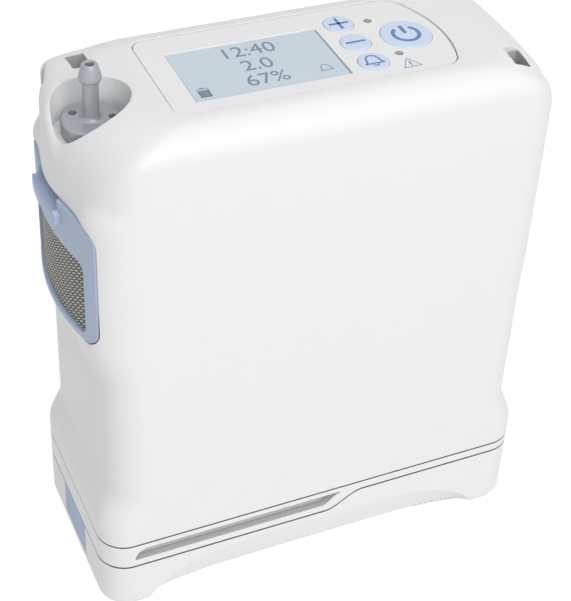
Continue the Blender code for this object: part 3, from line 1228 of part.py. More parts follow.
def make_head(name, side):
    """Finned cylinder and head, open towards the crankcase."""
    pitch = HEAD_LENGTH / (HEAD_FIN_COUNT + 1)
    profile = [(0.0, HEAD_LENGTH), (HEAD_RADIUS, HEAD_LENGTH), (HEAD_RADIUS, HEAD_FIN_COUNT * pitch)]
    for index in reversed(range(HEAD_FIN_COUNT)):
        fin_end = (index + FIN_SHARE) * pitch
        profile += [
            (HEAD_RADIUS - FIN_DEPTH, (index + 1) * pitch),
            (HEAD_RADIUS - FIN_DEPTH, fin_end),
            (HEAD_RADIUS, fin_end),
            (HEAD_RADIUS, index * pitch),
        ]
    profile += [(HEAD_BORE, 0.0), (HEAD_BORE, HEAD_LENGTH - HEAD_TOP), (0.0, HEAD_LENGTH - HEAD_TOP)]
    start = CRANK_X + side * (CRANKCASE_RADIUS + GAP)
    head = turned(name, profile, (start, cylinder_y(), CRANK_Z), ALLOY_FINISH, sides=16)
    head.rotation_euler = (0, side * math.pi / 2, 0)


def make_gas_side():
    base = TRAY_TOP + GAP
    cap = COLUMN_CAP / 2
    low_manifold_top = COLUMN_LOW - cap - GAP
    box("column_manifold", (COLUMN_X - MANIFOLD_HALF, -COLUMN_Y - COLUMN_RADIUS, base),
        (COLUMN_X + MANIFOLD_HALF, COLUMN_Y + COLUMN_RADIUS, low_manifold_top), BLACK_FINISH, MANIFOLD_EDGE)
    cap_radius = COLUMN_RADIUS + COLUMN_CAP_STAND
    length = COLUMN_HIGH - COLUMN_LOW
    profile = [
        (0.0, length + cap),
        (cap_radius, length + cap),
        (cap_radius, length - cap),
        (COLUMN_RADIUS, length - cap),
        (COLUMN_RADIUS, cap),
        (cap_radius, cap),
        (cap_radius, -cap),
        (0.0, -cap),
    ]
    turned("sieve_column_front", profile, (COLUMN_X, -COLUMN_Y, COLUMN_LOW), ALLOY_FINISH)
    turned("sieve_column_rear", profile, (COLUMN_X, COLUMN_Y, COLUMN_LOW), ALLOY_FINISH)
    top = COLUMN_HIGH + cap + GAP
    box("valve_manifold", (COLUMN_X - MANIFOLD_HALF, -VALVE_MANIFOLD_HALF, top),
        (COLUMN_X + MANIFOLD_HALF, VALVE_MANIFOLD_HALF, top + VALVE_MANIFOLD_THICK), BLACK_FINISH,
        MANIFOLD_EDGE)
    make_valves(COLUMN_X - MANIFOLD_HALF - GAP, top)
    make_tank(base)
    make_tubes(base)


def make_valves(right, base):
    """Row of valve coils on one bar beside the upper manifold."""
    length, half, thick = VALVE_BAR
    valves = box("solenoid_valves", (right - length, -half, base), (right, half, base + thick), STEEL_FINISH)
    inset = (length - VALVE_SIZE) / 2
    for index in range(VALVE_COUNT):
        y = (index - (VALVE_COUNT - 1) / 2) * VALVE_PITCH
        boolean(valves, box("valve_coil", (right - length + inset, y - VALVE_SIZE / 2, base + MM),
                            (right - inset, y + VALVE_SIZE / 2, base + VALVE_SIZE)), "UNION")


def make_tank(base):
    height = TANK_HIGH - base
    profile = [
        (0.0, height + TANK_SHOULDER),
        (TANK_NECK, height + TANK_SHOULDER),
        (TANK_NECK, height),
        (TANK_RADIUS - TANK_SHOULDER, height),
        (TANK_RADIUS, height - TANK_SHOULDER),
        (TANK_RADIUS, 0.0),
        (0.0, 0.0),
    ]
    turned("product_tank", profile, (TANK_X, TANK_Y, base), BLACK_FINISH)


def make_tubes(base):
    """Product tube from the tank to the outlet, and the intake tube from the fan to the left cylinder."""
    end = nozzle_socket_base() - SOCKET_STUB - GAP
    start = TANK_HIGH + TANK_SHOULDER + GAP
    run = end - 2 * TUBE_RADIUS
    shares = (0.0, 0.1, 0.3, 0.55, 0.78, 0.92)
    lifts = (-3.0 * MM, 0.4 * MM, 0.9 * MM, 0.3 * MM, -0.3 * MM, -0.3 * MM)
    route = [(TANK_X, TANK_Y, start), (TANK_X, TANK_Y, start + 2 * TUBE_RADIUS)]
    for share, lift in zip(shares, lifts):
        route.append((TANK_X - 2 * MM + (NOZZLE_X - TANK_X) * share, TANK_Y + (NOZZLE_Y - TANK_Y) * share,
                      run + lift))
    route.append((NOZZLE_X + 1.2 * MM, NOZZLE_Y, run + MM))
    route += [(NOZZLE_X, NOZZLE_Y, end - MM), (NOZZLE_X, NOZZLE_Y, end)]
    tube("product_tube", route, TUBE_RADIUS, TUBE_FINISH)

    low = CRANK_Z + HEAD_RADIUS + GAP
    high = FAN_Z - FAN_HALF - GAP
    x = CRANK_X - CRANKCASE_RADIUS - HEAD_LENGTH + HEAD_TOP + MM
    y = cylinder_y()
    sway = 11.0 * MM
    straight = 5.0 * MM
    rise = high - low - 2 * straight
    route = [(x, y, low), (x, y, low + straight)]
    for share in (0.25, 0.5, 0.75):
        route.append((x, y + sway * ease(share, 0.0, 1.0), low + straight + rise * share))
    route += [(x, y + sway, high - straight), (x, y + sway, high)]
    tube("intake_tube", route, TUBE_RADIUS, TUBE_FINISH)


def make_electronics():
    inner = HALF_DEPTH - WALL - GAP
    box("main_board", (MAIN_BOARD_LEFT, inner - BOARD_THICK, MAIN_BOARD_LOW),
        (MAIN_BOARD_RIGHT, inner, MAIN_BOARD_HIGH), BOARD_FINISH)
    face = WAIST_HALF_WIDTH
    jack = rod("dc_socket", (face - DC_LENGTH, DC_Y, SOCKETS_Z), DC_LENGTH, DC_RADIUS, BLACK_FINISH, "X",
               SMALL_ROUND)
    boolean(jack, rod("dc_bore", (face - DC_LENGTH + DC_BACK, DC_Y, SOCKETS_Z), DC_LENGTH,
                      DC_RADIUS - DC_WALL, axis="X", sides=SMALL_ROUND))
    boolean(jack, rod("dc_pin", (face - DC_LENGTH + DC_BACK / 2, DC_Y, SOCKETS_Z), DC_LENGTH - DC_BACK,
                      DC_PIN_RADIUS, axis="X", sides=TINY_ROUND), "UNION")
    across = USB_WIDTH / 2
    up = USB_HEIGHT / 2
    usb = box("usb_socket", (face - USB_LENGTH, USB_Y - across, SOCKETS_Z - up),
              (face - USB_SINK, USB_Y + across, SOCKETS_Z + up), STEEL_FINISH)
    across -= USB_SKIN
    up -= USB_SKIN
    boolean(usb, box("usb_bore", (face - USB_LENGTH + USB_BACK, USB_Y - across, SOCKETS_Z - up),
                     (face + MM, USB_Y + across, SOCKETS_Z + up)))


make_upper_housing()
make_lower_housing()
make_battery()
make_latch()
make_panel()
make_nozzle()
make_intake_filter()
make_fan()
make_compressor()
make_gas_side()
make_electronics()
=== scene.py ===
import json
import math
import bpy
import bmesh
from mathutils import Matrix, Vector

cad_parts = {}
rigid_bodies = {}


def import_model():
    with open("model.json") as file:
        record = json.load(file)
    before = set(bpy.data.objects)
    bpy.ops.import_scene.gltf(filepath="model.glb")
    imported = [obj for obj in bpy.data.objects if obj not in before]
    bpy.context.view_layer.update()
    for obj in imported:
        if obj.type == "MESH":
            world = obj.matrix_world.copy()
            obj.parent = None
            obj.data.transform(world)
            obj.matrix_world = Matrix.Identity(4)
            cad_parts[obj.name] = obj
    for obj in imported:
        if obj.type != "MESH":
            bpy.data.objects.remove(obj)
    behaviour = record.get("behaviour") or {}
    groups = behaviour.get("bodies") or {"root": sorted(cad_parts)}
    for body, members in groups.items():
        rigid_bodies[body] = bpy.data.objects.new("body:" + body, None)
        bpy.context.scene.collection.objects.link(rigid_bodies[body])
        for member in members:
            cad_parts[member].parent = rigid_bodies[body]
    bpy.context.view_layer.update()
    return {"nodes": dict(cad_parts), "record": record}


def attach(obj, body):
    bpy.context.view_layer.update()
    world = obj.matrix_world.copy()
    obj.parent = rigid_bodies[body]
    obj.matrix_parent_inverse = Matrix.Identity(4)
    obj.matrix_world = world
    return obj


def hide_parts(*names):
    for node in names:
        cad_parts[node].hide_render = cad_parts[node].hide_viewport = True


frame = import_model()
nodes = frame["nodes"]
mm = 0.001
print("frame loaded")


# a socket that can be added, scaled and compared like a number
class Wire:
    def __init__(self, graph, socket):
        self.graph = graph
        self.socket = socket

    def math(self, kind, first, second=None):
        values = {0: first} if second is None else {0: first, 1: second}
        return self.graph.node("ShaderNodeMath", {"operation": kind}, values)

    def __add__(self, other):
        return self.math("ADD", self, other)

    def __radd__(self, other):
        return self.math("ADD", other, self)

    def __sub__(self, other):
        return self.math("SUBTRACT", self, other)

    def __rsub__(self, other):
        return self.math("SUBTRACT", other, self)

    def __mul__(self, other):
        return self.math("MULTIPLY", self, other)

    def __rmul__(self, other):
        return self.math("MULTIPLY", other, self)

    def __gt__(self, other):
        return self.math("GREATER_THAN", self, other)

    def __lt__(self, other):
        return self.math("LESS_THAN", self, other)

    def sine(self):
        return self.math("SINE", self)

    def size(self):
        return self.math("ABSOLUTE", self)

    def modulo(self, other):
        return self.math("FLOORED_MODULO", self, other)

    def atMost(self, other):
        return self.math("MINIMUM", self, other)

    def atLeast(self, other):
        return self.math("MAXIMUM", self, other)

    def rise(self, low, high):
        return self.graph.node("ShaderNodeMapRange", {"interpolation_type": "SMOOTHSTEP"},
                               {"Value": self, "From Min": low, "From Max": high})


# the node tree of a material or of the world
class Graph:
    def __init__(self, owner):
        owner.use_nodes = True
        self.owner = owner
        self.tree = owner.node_tree

    def feed(self, socket, value):
        if isinstance(value, Wire):
            self.tree.links.new(value.socket, socket)
        else:
            socket.default_value = value

    def node(self, kind, settings=None, values=None, out=0):
        made = self.tree.nodes.new(kind)
        for key, value in (settings or {}).items():
            setattr(made, key, value)
        for key, value in (values or {}).items():
            self.feed(made.inputs[key], value)
        return None if out is None else Wire(self, made.outputs[out])

    def place(self):
        return self.node("ShaderNodeTexCoord", out="Object")

    def axes(self):
        place = self.place()
        return [self.node("ShaderNodeSeparateXYZ", None, {0: place}, out) for out in range(3)]

    def noise(self, scale, detail=2.0):
        return self.node("ShaderNodeTexNoise", None,
                         {"Vector": self.place(), "Scale": scale, "Detail": detail}, "Fac")

    def mix(self, share, first, second):
        return self.node("ShaderNodeMix", {"data_type": "RGBA"},
                         {"Factor": share, 6: asColor(first), 7: asColor(second)}, 2)

    def bump(self, height, distance, strength):
        return self.node("ShaderNodeBump", None,
                         {"Height": height, "Distance": distance, "Strength": strength})

    def finish(self, values):
        shader = self.node("ShaderNodeBsdfPrincipled", None, values)
        self.node("ShaderNodeOutputMaterial", None, {"Surface": shader}, None)
        return self.owner


def asColor(value):
    return value if isinstance(value, Wire) else (*value, 1.0)


def newMaterial(name):
    graph = Graph(bpy.data.materials.new(name))
    graph.tree.nodes.clear()
    return graph


plasticGrain = {"cloud": 28.0, "fine": 1800.0, "cloudRough": 0.1, "fineRough": 0.06, "bump": 0.5}
metalGrain = {"cloud": 90.0, "fine": 2600.0, "cloudRough": 0.12, "depth": 0.00002, "bump": 0.5, "darker": 0.9}


def plasticNoise(graph):
    return graph.noise(plasticGrain["cloud"], 3.0), graph.noise(plasticGrain["fine"], 2.0)


def plasticRoughness(roughness, cloud, fine):
    return roughness + (cloud - 0.5) * plasticGrain["cloudRough"] + (fine - 0.5) * plasticGrain["fineRough"]


# grain is the depth of the fine bumps in metres, tone how much darker the cloudy patches are
def plastic(name, color, roughness, grain=0.00002, tone=0.012):
    graph = newMaterial(name)
    cloud, fine = plasticNoise(graph)
    tint = graph.mix(cloud, tuple(part * (1 - tone) for part in color), color)
    return graph.finish({"Base Color": tint, "Roughness": plasticRoughness(roughness, cloud, fine),
                         "Normal": graph.bump(fine, grain, plasticGrain["bump"])})


def metal(name, color, roughness, metallic=1.0):
    graph = newMaterial(name)
    cloud = graph.noise(metalGrain["cloud"], 3.0)
    fine = graph.noise(metalGrain["fine"], 2.0)
    tint = graph.mix(cloud, tuple(part * metalGrain["darker"] for part in color), color)
    return graph.finish({"Base Color": tint, "Roughness": roughness + (cloud - 0.5) * metalGrain["cloudRough"],
                         "Metallic": metallic,
                         "Normal": graph.bump(fine, metalGrain["depth"], metalGrain["bump"])})


def feltLike(name, dark, pale, scale=900.0):
    graph = newMaterial(name)
    cells = graph.node("ShaderNodeTexVoronoi", None, {"Vector": graph.place(), "Scale": scale}, "Distance")
    tint = graph.mix(cells, dark, pale)
    return graph.finish({"Base Color": tint, "Roughness": 0.95, "Normal": graph.bump(cells, 0.0003, 0.8)})


def circuitBoard(name):
    graph = newMaterial(name)
    x, y, z = graph.axes()
    tracks = ((x + y + z) * 2600.0).sine() > 0.75
    cloud = graph.noise(300.0)
    tint = graph.mix(tracks * (cloud > 0.5), (0.02, 0.13, 0.06), (0.05, 0.25, 0.11))
    return graph.finish({"Base Color": tint, "Roughness": 0.45})


weave = {"slant": 0.62, "waver": 0.2, "crowding": 0.35, "dark": (0.09, 0.082, 0.07), "pale": (0.58, 0.57, 0.54)}


# rows of pale thread ends with dark gaps, each row set half a stitch from the next
def wovenMesh(name, stitch, row):
    graph = newMaterial(name)
    _, y, z = graph.axes()
    lift = (z + y * weave["slant"]) * (1.0 / row) + graph.noise(400.0, 2.0) * weave["waver"]
    odd = lift.modulo(2.0) > 1.0
    along = (y * (1.0 / stitch) + odd * 0.5).modulo(1.0)
    thread = (lift.modulo(1.0) * math.pi).sine() * (along * math.pi).sine()
    crowd = graph.noise(900.0, 2.0)
    share = (thread + (crowd - 0.5) * weave["crowding"]).rise(0.3, 0.8)
    tint = graph.mix(share, weave["dark"], weave["pale"])
    return graph.finish({"Base Color": tint, "Roughness": 0.6, "Normal": graph.bump(thread, 0.00025, 0.8)})


# where the housing's colour holds shade: the two joints, the exhaust slot and the strap slots
shade = {
    "upperJoint": 0.0281, "upperHalf": 0.0003, "lowerJoint": 0.0189, "lowerHalf": 0.00032,
    "stepStart": 0.002, "stepEnd": 0.015, "stepRise": 0.0058, "slotFront": -0.0327, "slotRear": -0.0272,
    "slotLow": 0.0215, "slotHigh": 0.0262, "slotLeft": -0.0632, "slotRight": 0.0074,
    "straps": ((-0.0602, 0.016), (0.0568, -0.022)), "strapHalfX": 0.0027, "strapHalfY": 0.0042,
    "strapLow": 0.1629, "strapHigh": 0.1729,
    "slotGrey": (0.56, 0.56, 0.56), "strapGrey": (0.5, 0.5, 0.5), "jointGrey": (0.17, 0.17, 0.17),
}


def housingPlastic(name, color):
    graph = newMaterial(name)
    x, y, z = graph.axes()
    lower = shade["lowerJoint"] + x.rise(shade["stepStart"], shade["stepEnd"]) * shade["stepRise"]
    joint = (z - shade["upperJoint"]).size() < shade["upperHalf"]
    joint = joint.atLeast((z - lower).size() < shade["lowerHalf"])
    slotMask = (y < shade["slotRear"]) * (y > shade["slotFront"]) * (z > shade["slotLow"])
    slotMask = slotMask * (z < shade["slotHigh"]) * (x < shade["slotRight"]) * (x > shade["slotLeft"])
    rear, near = [((x - u).size() < shade["strapHalfX"]) * ((y - v).size() < shade["strapHalfY"])
                  for u, v in shade["straps"]]
    strapMask = (rear + near) * (z > shade["strapLow"]) * (z < shade["strapHigh"])
    cloud, fine = plasticNoise(graph)
    tint = graph.mix(cloud, tuple(part * 0.985 for part in color), color)
    tint = graph.mix(slotMask, tint, shade["slotGrey"])
    tint = graph.mix(strapMask, tint, shade["strapGrey"])
    tint = graph.mix(joint, tint, shade["jointGrey"])
    return graph.finish({"Base Color": tint, "Roughness": plasticRoughness(0.4, cloud, fine),
                         "Normal": graph.bump(fine, 0.00002, plasticGrain["bump"])})


finishes = {
    "housing_white": housingPlastic("housing white", (0.885, 0.888, 0.892)),
    "panel_white": plastic("panel white", (0.885, 0.888, 0.892), 0.34, 0.00001),
    "button_blue": plastic("button blue", (0.67, 0.77, 0.96), 0.42, 0.00001),
    "screen": plastic("screen", (0.63, 0.74, 0.82), 0.16, 0.000004, 0.08),
    "black_plastic": plastic("black plastic", (0.04, 0.04, 0.043), 0.5),
    "silicone_black": plastic("silicone black", (0.028, 0.028, 0.028), 0.75),
    "circuit_board": circuitBoard("circuit board"),
    "lamp_clear": plastic("lamp clear", (0.34, 0.34, 0.33), 0.3),
    "nozzle_grey": metal("nozzle grey", (0.42, 0.445, 0.475), 0.4, 0.3),
    "filter_felt": feltLike("filter felt", (0.6, 0.6, 0.58), (0.85, 0.85, 0.83)),
    "filter_blue": plastic("filter blue", (0.44, 0.53, 0.70), 0.42),
    "filter_mesh": wovenMesh("filter mesh", 2.8 * mm, 0.95 * mm),
    "filter_foam": feltLike("filter foam", (0.03, 0.03, 0.03), (0.12, 0.12, 0.12), 1400.0),
    "latch_blue": plastic("latch blue", (0.36, 0.46, 0.67), 0.42),
    "steel": metal("steel", (0.55, 0.55, 0.56), 0.33),
    "cell_wrap": plastic("cell wrap", (0.12, 0.2, 0.42), 0.35),
    "brass": metal("brass", (0.72, 0.52, 0.2), 0.33),
    "aluminium": metal("aluminium", (0.62, 0.63, 0.64), 0.42),
    "motor_black": metal("motor black", (0.1, 0.1, 0.11), 0.5, 0.4),
    "grille_grey": plastic("grille grey", (0.56, 0.56, 0.56), 0.6),
    "tubing": plastic("tubing", (0.7, 0.72, 0.72), 0.3),
    "print_blue": plastic("print blue", (0.13, 0.24, 0.44), 0.45),
    "screen_mark": plastic("screen mark", (0.20, 0.26, 0.35), 0.3),
}
for entry in frame["record"]["subparts"]:
    piece = nodes[entry["node"]]
    piece.data.materials.clear()
    piece.data.materials.append(finishes[entry["material_slot"]])
print("materials")


def ease(value, start, end):
    share = min(max((value - start) / (end - start), 0.0), 1.0)
    return share * share * (3 - 2 * share)


def roundedOutline(uLow, uHigh, vLow, vHigh, radius, steps=10):
    corners = ((uHigh - radius, vLow + radius, -90), (uHigh - radius, vHigh - radius, 0),
               (uLow + radius, vHigh - radius, 90), (uLow + radius, vLow + radius, 180))
    points = []
    for u, v, start in corners:
        for step in range(steps + 1):
            angle = math.radians(start + 90 * step / steps)
            points.append((u + radius * math.cos(angle), v + radius * math.sin(angle)))
    return points


def meshObject(name, bm):
    bmesh.ops.recalc_face_normals(bm, faces=bm.faces)
    data = bpy.data.meshes.new(name)
    bm.to_mesh(data)
    bm.free()
    made = bpy.data.objects.new(name, data)
    bpy.context.scene.collection.objects.link(made)
    return made


# skins a row of rings, and closes it with end faces or by joining the last ring to the first
def loft(name, rings, endless=False):
    bm = bmesh.new()
    rows = [[bm.verts.new(point) for point in ring] for ring in rings]
    if endless:
        rows.append(rows[0])
    count = len(rows[0])
    for lower, upper in zip(rows, rows[1:]):
        for index in range(count):
            after = (index + 1) % count
            bm.faces.new((lower[index], lower[after], upper[after], upper[index]))
    if not endless:
        bm.faces.new(reversed(rows[0]))
        bm.faces.new(rows[-1])
    return meshObject(name, bm)


# lays a flat outline at two heights of the third axis
def plate(name, points, low, high, plane="XY"):
    order = {"XY": lambda u, v, w: (u, v, w), "YZ": lambda u, v, w: (w, u, v),
             "XZ": lambda u, v, w: (u, w, v)}[plane]
    return loft(name, [[order(u, v, w) for u, v in points] for w in (low, high)])


def block(name, low, high):
    outline = [(low[0], low[1]), (high[0], low[1]), (high[0], high[1]), (low[0], high[1])]
    return plate(name, outline, low[2], high[2])


def circle(radius, sides):
    turns = [2 * math.pi * step / sides for step in range(sides)]
    return [(radius * math.cos(turn), radius * math.sin(turn)) for turn in turns]


def rod(name, start, length, radius, axis="Z", sides=48):
    order = {"Z": lambda a, b, c: (a, b, c), "X": lambda a, b, c: (c, a, b),
             "Y": lambda a, b, c: (b, c, a)}[axis]
    rings = []
    for along in (0.0, length):
        placed = [order(a, b, along) for a, b in circle(radius, sides)]
        rings.append([(start[0] + a, start[1] + b, start[2] + c) for a, b, c in placed])
    return loft(name, rings)


def turned(name, profile, centre, sides, endless=False):
    rings = [[(centre[0] + a, centre[1] + b, height) for a, b in circle(radius, sides)]
             for radius, height in profile]
    return loft(name, rings, endless)


def cut(target, tool, operation="DIFFERENCE"):
    mod = target.modifiers.new("cut", "BOOLEAN")
    mod.operation = operation
    mod.solver = "EXACT"
    mod.object = tool
    tool["tool"] = True


def settle(target):
    graph = bpy.context.evaluated_depsgraph_get()
    data = bpy.data.meshes.new_from_object(target.evaluated_get(graph))
    target.modifiers.clear()
    target.data = data
    for other in [o for o in bpy.data.objects if o.get("tool")]:
        bpy.data.objects.remove(other, do_unlink=True)


mergeWithin = 0.00004
dissolveBelow = 0.00002


# rounds the edges that chosen(midpoint) picks out, where two faces meet at more than the angle
def softEdges(target, width, chosen, angle=35):
    bm = bmesh.new()
    bm.from_mesh(target.data)
    bmesh.ops.remove_doubles(bm, verts=bm.verts, dist=mergeWithin)
    bmesh.ops.dissolve_degenerate(bm, edges=bm.edges, dist=dissolveBelow)
    limit = math.radians(angle)
    edges = []
    for edge in bm.edges:
        if len(edge.link_faces) == 2 and edge.calc_face_angle(0.0) > limit:
            if chosen((edge.verts[0].co + edge.verts[1].co) / 2):
                edges.append(edge)
    bmesh.ops.bevel(bm, geom=edges, offset=width, segments=2, profile=0.5, affect="EDGES",
                    clamp_overlap=False)
    bm.to_mesh(target.data)
    bm.free()


sharpAngle = math.radians(40)


def dress(target, body, slotName, replaced=()):
    data = target.data
    data.materials.clear()
    data.materials.append(finishes[slotName])
    data.shade_smooth()
    data.set_sharp_from_angle(angle=sharpAngle)
    weighted = target.modifiers.new("even shading", "WEIGHTED_NORMAL")
    weighted.keep_sharp = True
    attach(target, body)
    if replaced:
        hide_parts(*replaced)
    return target


past = 4 * mm         # how far a cutting solid runs past the surface that it cuts
outside = 80 * mm     # beyond the part on either side

body = {
    "baseHalf": 72.6 * mm, "waistHalf": 69.0 * mm, "depth": 32.9 * mm, "baseCorner": 9.2 * mm,
    "waistCorner": 11.9 * mm, "top": 175.3 * mm, "seamUpper": 28.1 * mm, "seamLeft": 18.9 * mm,
    "seamRight": 24.7 * mm, "seam": 0.5 * mm, "stepStart": 2.0 * mm, "stepEnd": 15.0 * mm,
    "flareLow": 34.0 * mm, "flareHigh": 48.0 * mm, "bulgeStart": 88.0 * mm, "bulgeFull": 106.0 * mm,
    "landFadeLow": 148.0 * mm, "landFadeMiddle": 151.5 * mm, "landFadeHigh": 155.0 * mm,
    "rightBulge": 2.4 * mm, "landBulge": 6.2 * mm, "landEdge": 3.5 * mm, "landSpan": 21.0 * mm,
    "wellBulge": 6.3 * mm, "wellMiddle": -0.5 * mm, "wellFront": 34.0 * mm, "wellRear": 27.0 * mm,
    "sideFillet": 20.0 * mm, "leftFillet": 8.0 * mm, "leftFilletStart": -9.0 * mm,
    "leftFilletEnd": 1.0 * mm, "frontFillet": 9.0 * mm, "rearFillet": 17.5 * mm,
    "crownFall": 1.7 * mm, "crownEdge": 45.0 * mm, "crownSpan": 14.0 * mm, "topCorner": 8.0 * mm,
    "wall": 2.2 * mm, "roof": 4.8 * mm, "gap": 0.3 * mm, "edgeRound": 0.25 * mm,
}
# rings that close the top; flatX and flatY draw the last one inside the panel's outline
crown = {"rings": 6, "rightShare": 0.9, "depthLoss": 0.15, "fade": 8, "flatX": 0.8, "flatY": 0.75}


# how far each side stands out at a depth: the left is round the filter, or beside the well above it
def leftPush(y, upper):
    middle = 0.5 + 0.5 * math.cos(math.pi * min(abs(y) / body["landSpan"], 1.0))
    land = body["landEdge"] + (body["landBulge"] - body["landEdge"]) * middle
    away = y - body["wellMiddle"]
    reach = body["wellFront"] if away < 0 else body["wellRear"]
    beside = body["wellBulge"] * (0.5 + 0.5 * math.cos(math.pi * min(abs(away) / reach, 1.0)))
    return land + (beside - land) * upper


def rightPush(y):
    return body["rightBulge"] * (1 - (y / body["depth"]) ** 2)


# where the long walls have points, denser towards the corners
wallShares = (0.012, 0.04, 0.07, 0.1, 0.14, 0.2, 0.3, 0.5, 0.7, 0.8, 0.86, 0.9, 0.93, 0.96, 0.988)


# one level outline of the body; each point's share is 0 on a long wall and 1 on a side
def planRing(halfWidth, front, rear, corner, rise, upper, dense):
    cornerSteps, sideSteps = (14, 26) if dense else (5, 5)
    ends = ((1, front + corner, -90), (1, rear - corner, 0), (-1, rear - corner, 90),
            (-1, front + corner, 180))
    plain = []
    for index, (side, yMid, start) in enumerate(ends):
        xMid = side * (halfWidth - corner)
        for step in range(cornerSteps + 1):
            angle = math.radians(start + 90 * step / cornerSteps)
            plain.append((xMid + corner * math.cos(angle), yMid + corner * math.sin(angle)))
        here = plain[-1]
        if index in (0, 2):
            thereY = ends[index + 1][1]
            for step in range(1, sideSteps):
                plain.append((here[0], here[1] + (thereY - here[1]) * step / sideSteps))
        elif dense:
            there = -here[0]
            for share in wallShares:
                plain.append((here[0] + (there - here[0]) * share, here[1]))
    points = []
    for x, y in plain:
        share = min(max((abs(x) - (halfWidth - corner)) / corner, 0.0), 1.0)
        push = leftPush(y, upper) if x < 0 else rightPush(y)
        points.append((x + math.copysign(push * rise * share, x), y, share))
    return points


# the top falls towards its left end, most behind the well
def crownFall(x, y):
    behind = 0.5 + 0.5 * ease(y, body["leftFilletStart"], body["leftFilletEnd"])
    return body["crownFall"] * behind * ease(-x, body["crownEdge"], body["crownEdge"] + body["crownSpan"])


def between(low, high, steps):
    return [low + (high - low) * step / steps for step in range(steps + 1)]


def bodyHeights(bottom, dense):
    if not dense:
        return [bottom, *between(body["flareLow"], body["flareHigh"], 3),
                *between(body["bulgeStart"], body["bulgeFull"], 3), body["landFadeLow"], body["landFadeMiddle"]]
    return [bottom, bottom + 0.6 * mm, *between(body["flareLow"], body["flareHigh"], 10), 62 * mm, 76 * mm,
            *between(body["bulgeStart"], body["bulgeFull"], 10), 120 * mm, 135 * mm,
            *between(body["landFadeLow"], body["landFadeHigh"], 8)]


def bodySolid(name, inset, bottom, top, dense):
    depth = body["depth"] - inset
    rings = []
    for z in bodyHeights(bottom, dense):
        flare = ease(z, body["flareLow"], body["flareHigh"])
        halfWidth = body["baseHalf"] + (body["waistHalf"] - body["baseHalf"]) * flare - inset
        corner = body["baseCorner"] + (body["waistCorner"] - body["baseCorner"]) * flare - inset
        rise = ease(z, body["bulgeStart"], body["bulgeFull"])
        upper = ease(z, body["landFadeLow"], body["landFadeHigh"])
        ring = planRing(halfWidth, -depth, depth, corner, rise, upper, dense)
        rings.append([(x, y, z) for x, y, _ in ring])
    fillets = ("sideFillet", "frontFillet", "rearFillet", "leftFillet")
    side, front, rear, left = [body[key] - inset for key in fillets]
    halfWidth = body["waistHalf"] - inset
    waistCorner = body["waistCorner"] - inset
    steps = 20 if dense else 6
    for step in range(1 if dense else 0, steps + 1):
        angle = math.pi / 2 * step / steps
        drawn = 1 - math.cos(angle)
        corner = waistCorner + (body["topCorner"] - body["waistCorner"]) * drawn
        ring = planRing(halfWidth - side * drawn, -depth + front * drawn, depth - rear * drawn, corner,
                        1.0, 1.0, dense)
        placed = []
        for x, y, share in ring:
            across = side
            if x < 0:
                across += (left - side) * ease(y, body["leftFilletStart"], body["leftFilletEnd"])
            x += math.copysign((side - across) * drawn * share, x)
            blend = share * share
            radius = across * blend + (front if y < 0 else rear) * (1 - blend)
            fall = crownFall(x, y) * math.sin(angle) ** 2
            placed.append((x, y, top - radius * (1 - math.sin(angle)) - fall))
        rings.append(placed)
    last = rings[-1]
    shrink = body["crownEdge"] / max(-x for x, y, z in last)
    count = crown["rings"] if dense else 1
    for step in range(1, count + 1):
        share = step / count
        placed = []
        for x, y, z in last:
            u = x * (1 + ((shrink if x < 0 else crown["rightShare"]) - 1) * share)
            v = y * (1 - crown["depthLoss"] * share)
            placed.append((u, v, top - crownFall(u, v) * (1 - share ** crown["fade"])))
        rings.append(placed)
    if dense:
        rings.append([(x * crown["flatX"], y * crown["flatY"], top) for x, y, z in rings[-1]])
    return loft(name, rings)


panel = {
    "left": -45.0 * mm, "right": 41.8 * mm, "front": -22.0 * mm, "rear": 17.6 * mm, "corner": 4.2 * mm,
    "bow": 5.2 * mm, "bowSpan": 20.0 * mm, "bowY": -5.0 * mm, "face": 174.9 * mm,
    "thick": 2.6 * mm, "ledge": 2.0 * mm, "edgeRound": 0.18 * mm,
}


# points on the panel's bowed right edge, in bow spans from its widest place
bowShares = (-0.5, -0.33, -0.16, 0, 0.16, 0.33, 0.5, 0.7)


def panelOutline(inset):
    steps = 10
    left = panel["left"] + inset
    right = panel["right"] - inset
    plain = roundedOutline(left, right, panel["front"] + inset, panel["rear"] - inset,
                           panel["corner"] - inset / 2, steps)
    plain[steps + 1:steps + 1] = [(right, panel["bowY"] + panel["bowSpan"] * share) for share in bowShares]
    points = []
    for u, v in plain:
        across = max((u - left) / (right - left), 0.0)
        away = (v - panel["bowY"]) / panel["bowSpan"]
        points.append((u - panel["bow"] * away ** 2 * across ** 4, v))
    return points


well = {
    "x": -62.8 * mm, "y": -3.6 * mm, "radius": 10.8 * mm, "floor": 162.6 * mm, "wall": 2.0 * mm,
    "height": 20 * mm, "spigot": 3.9 * mm,
}
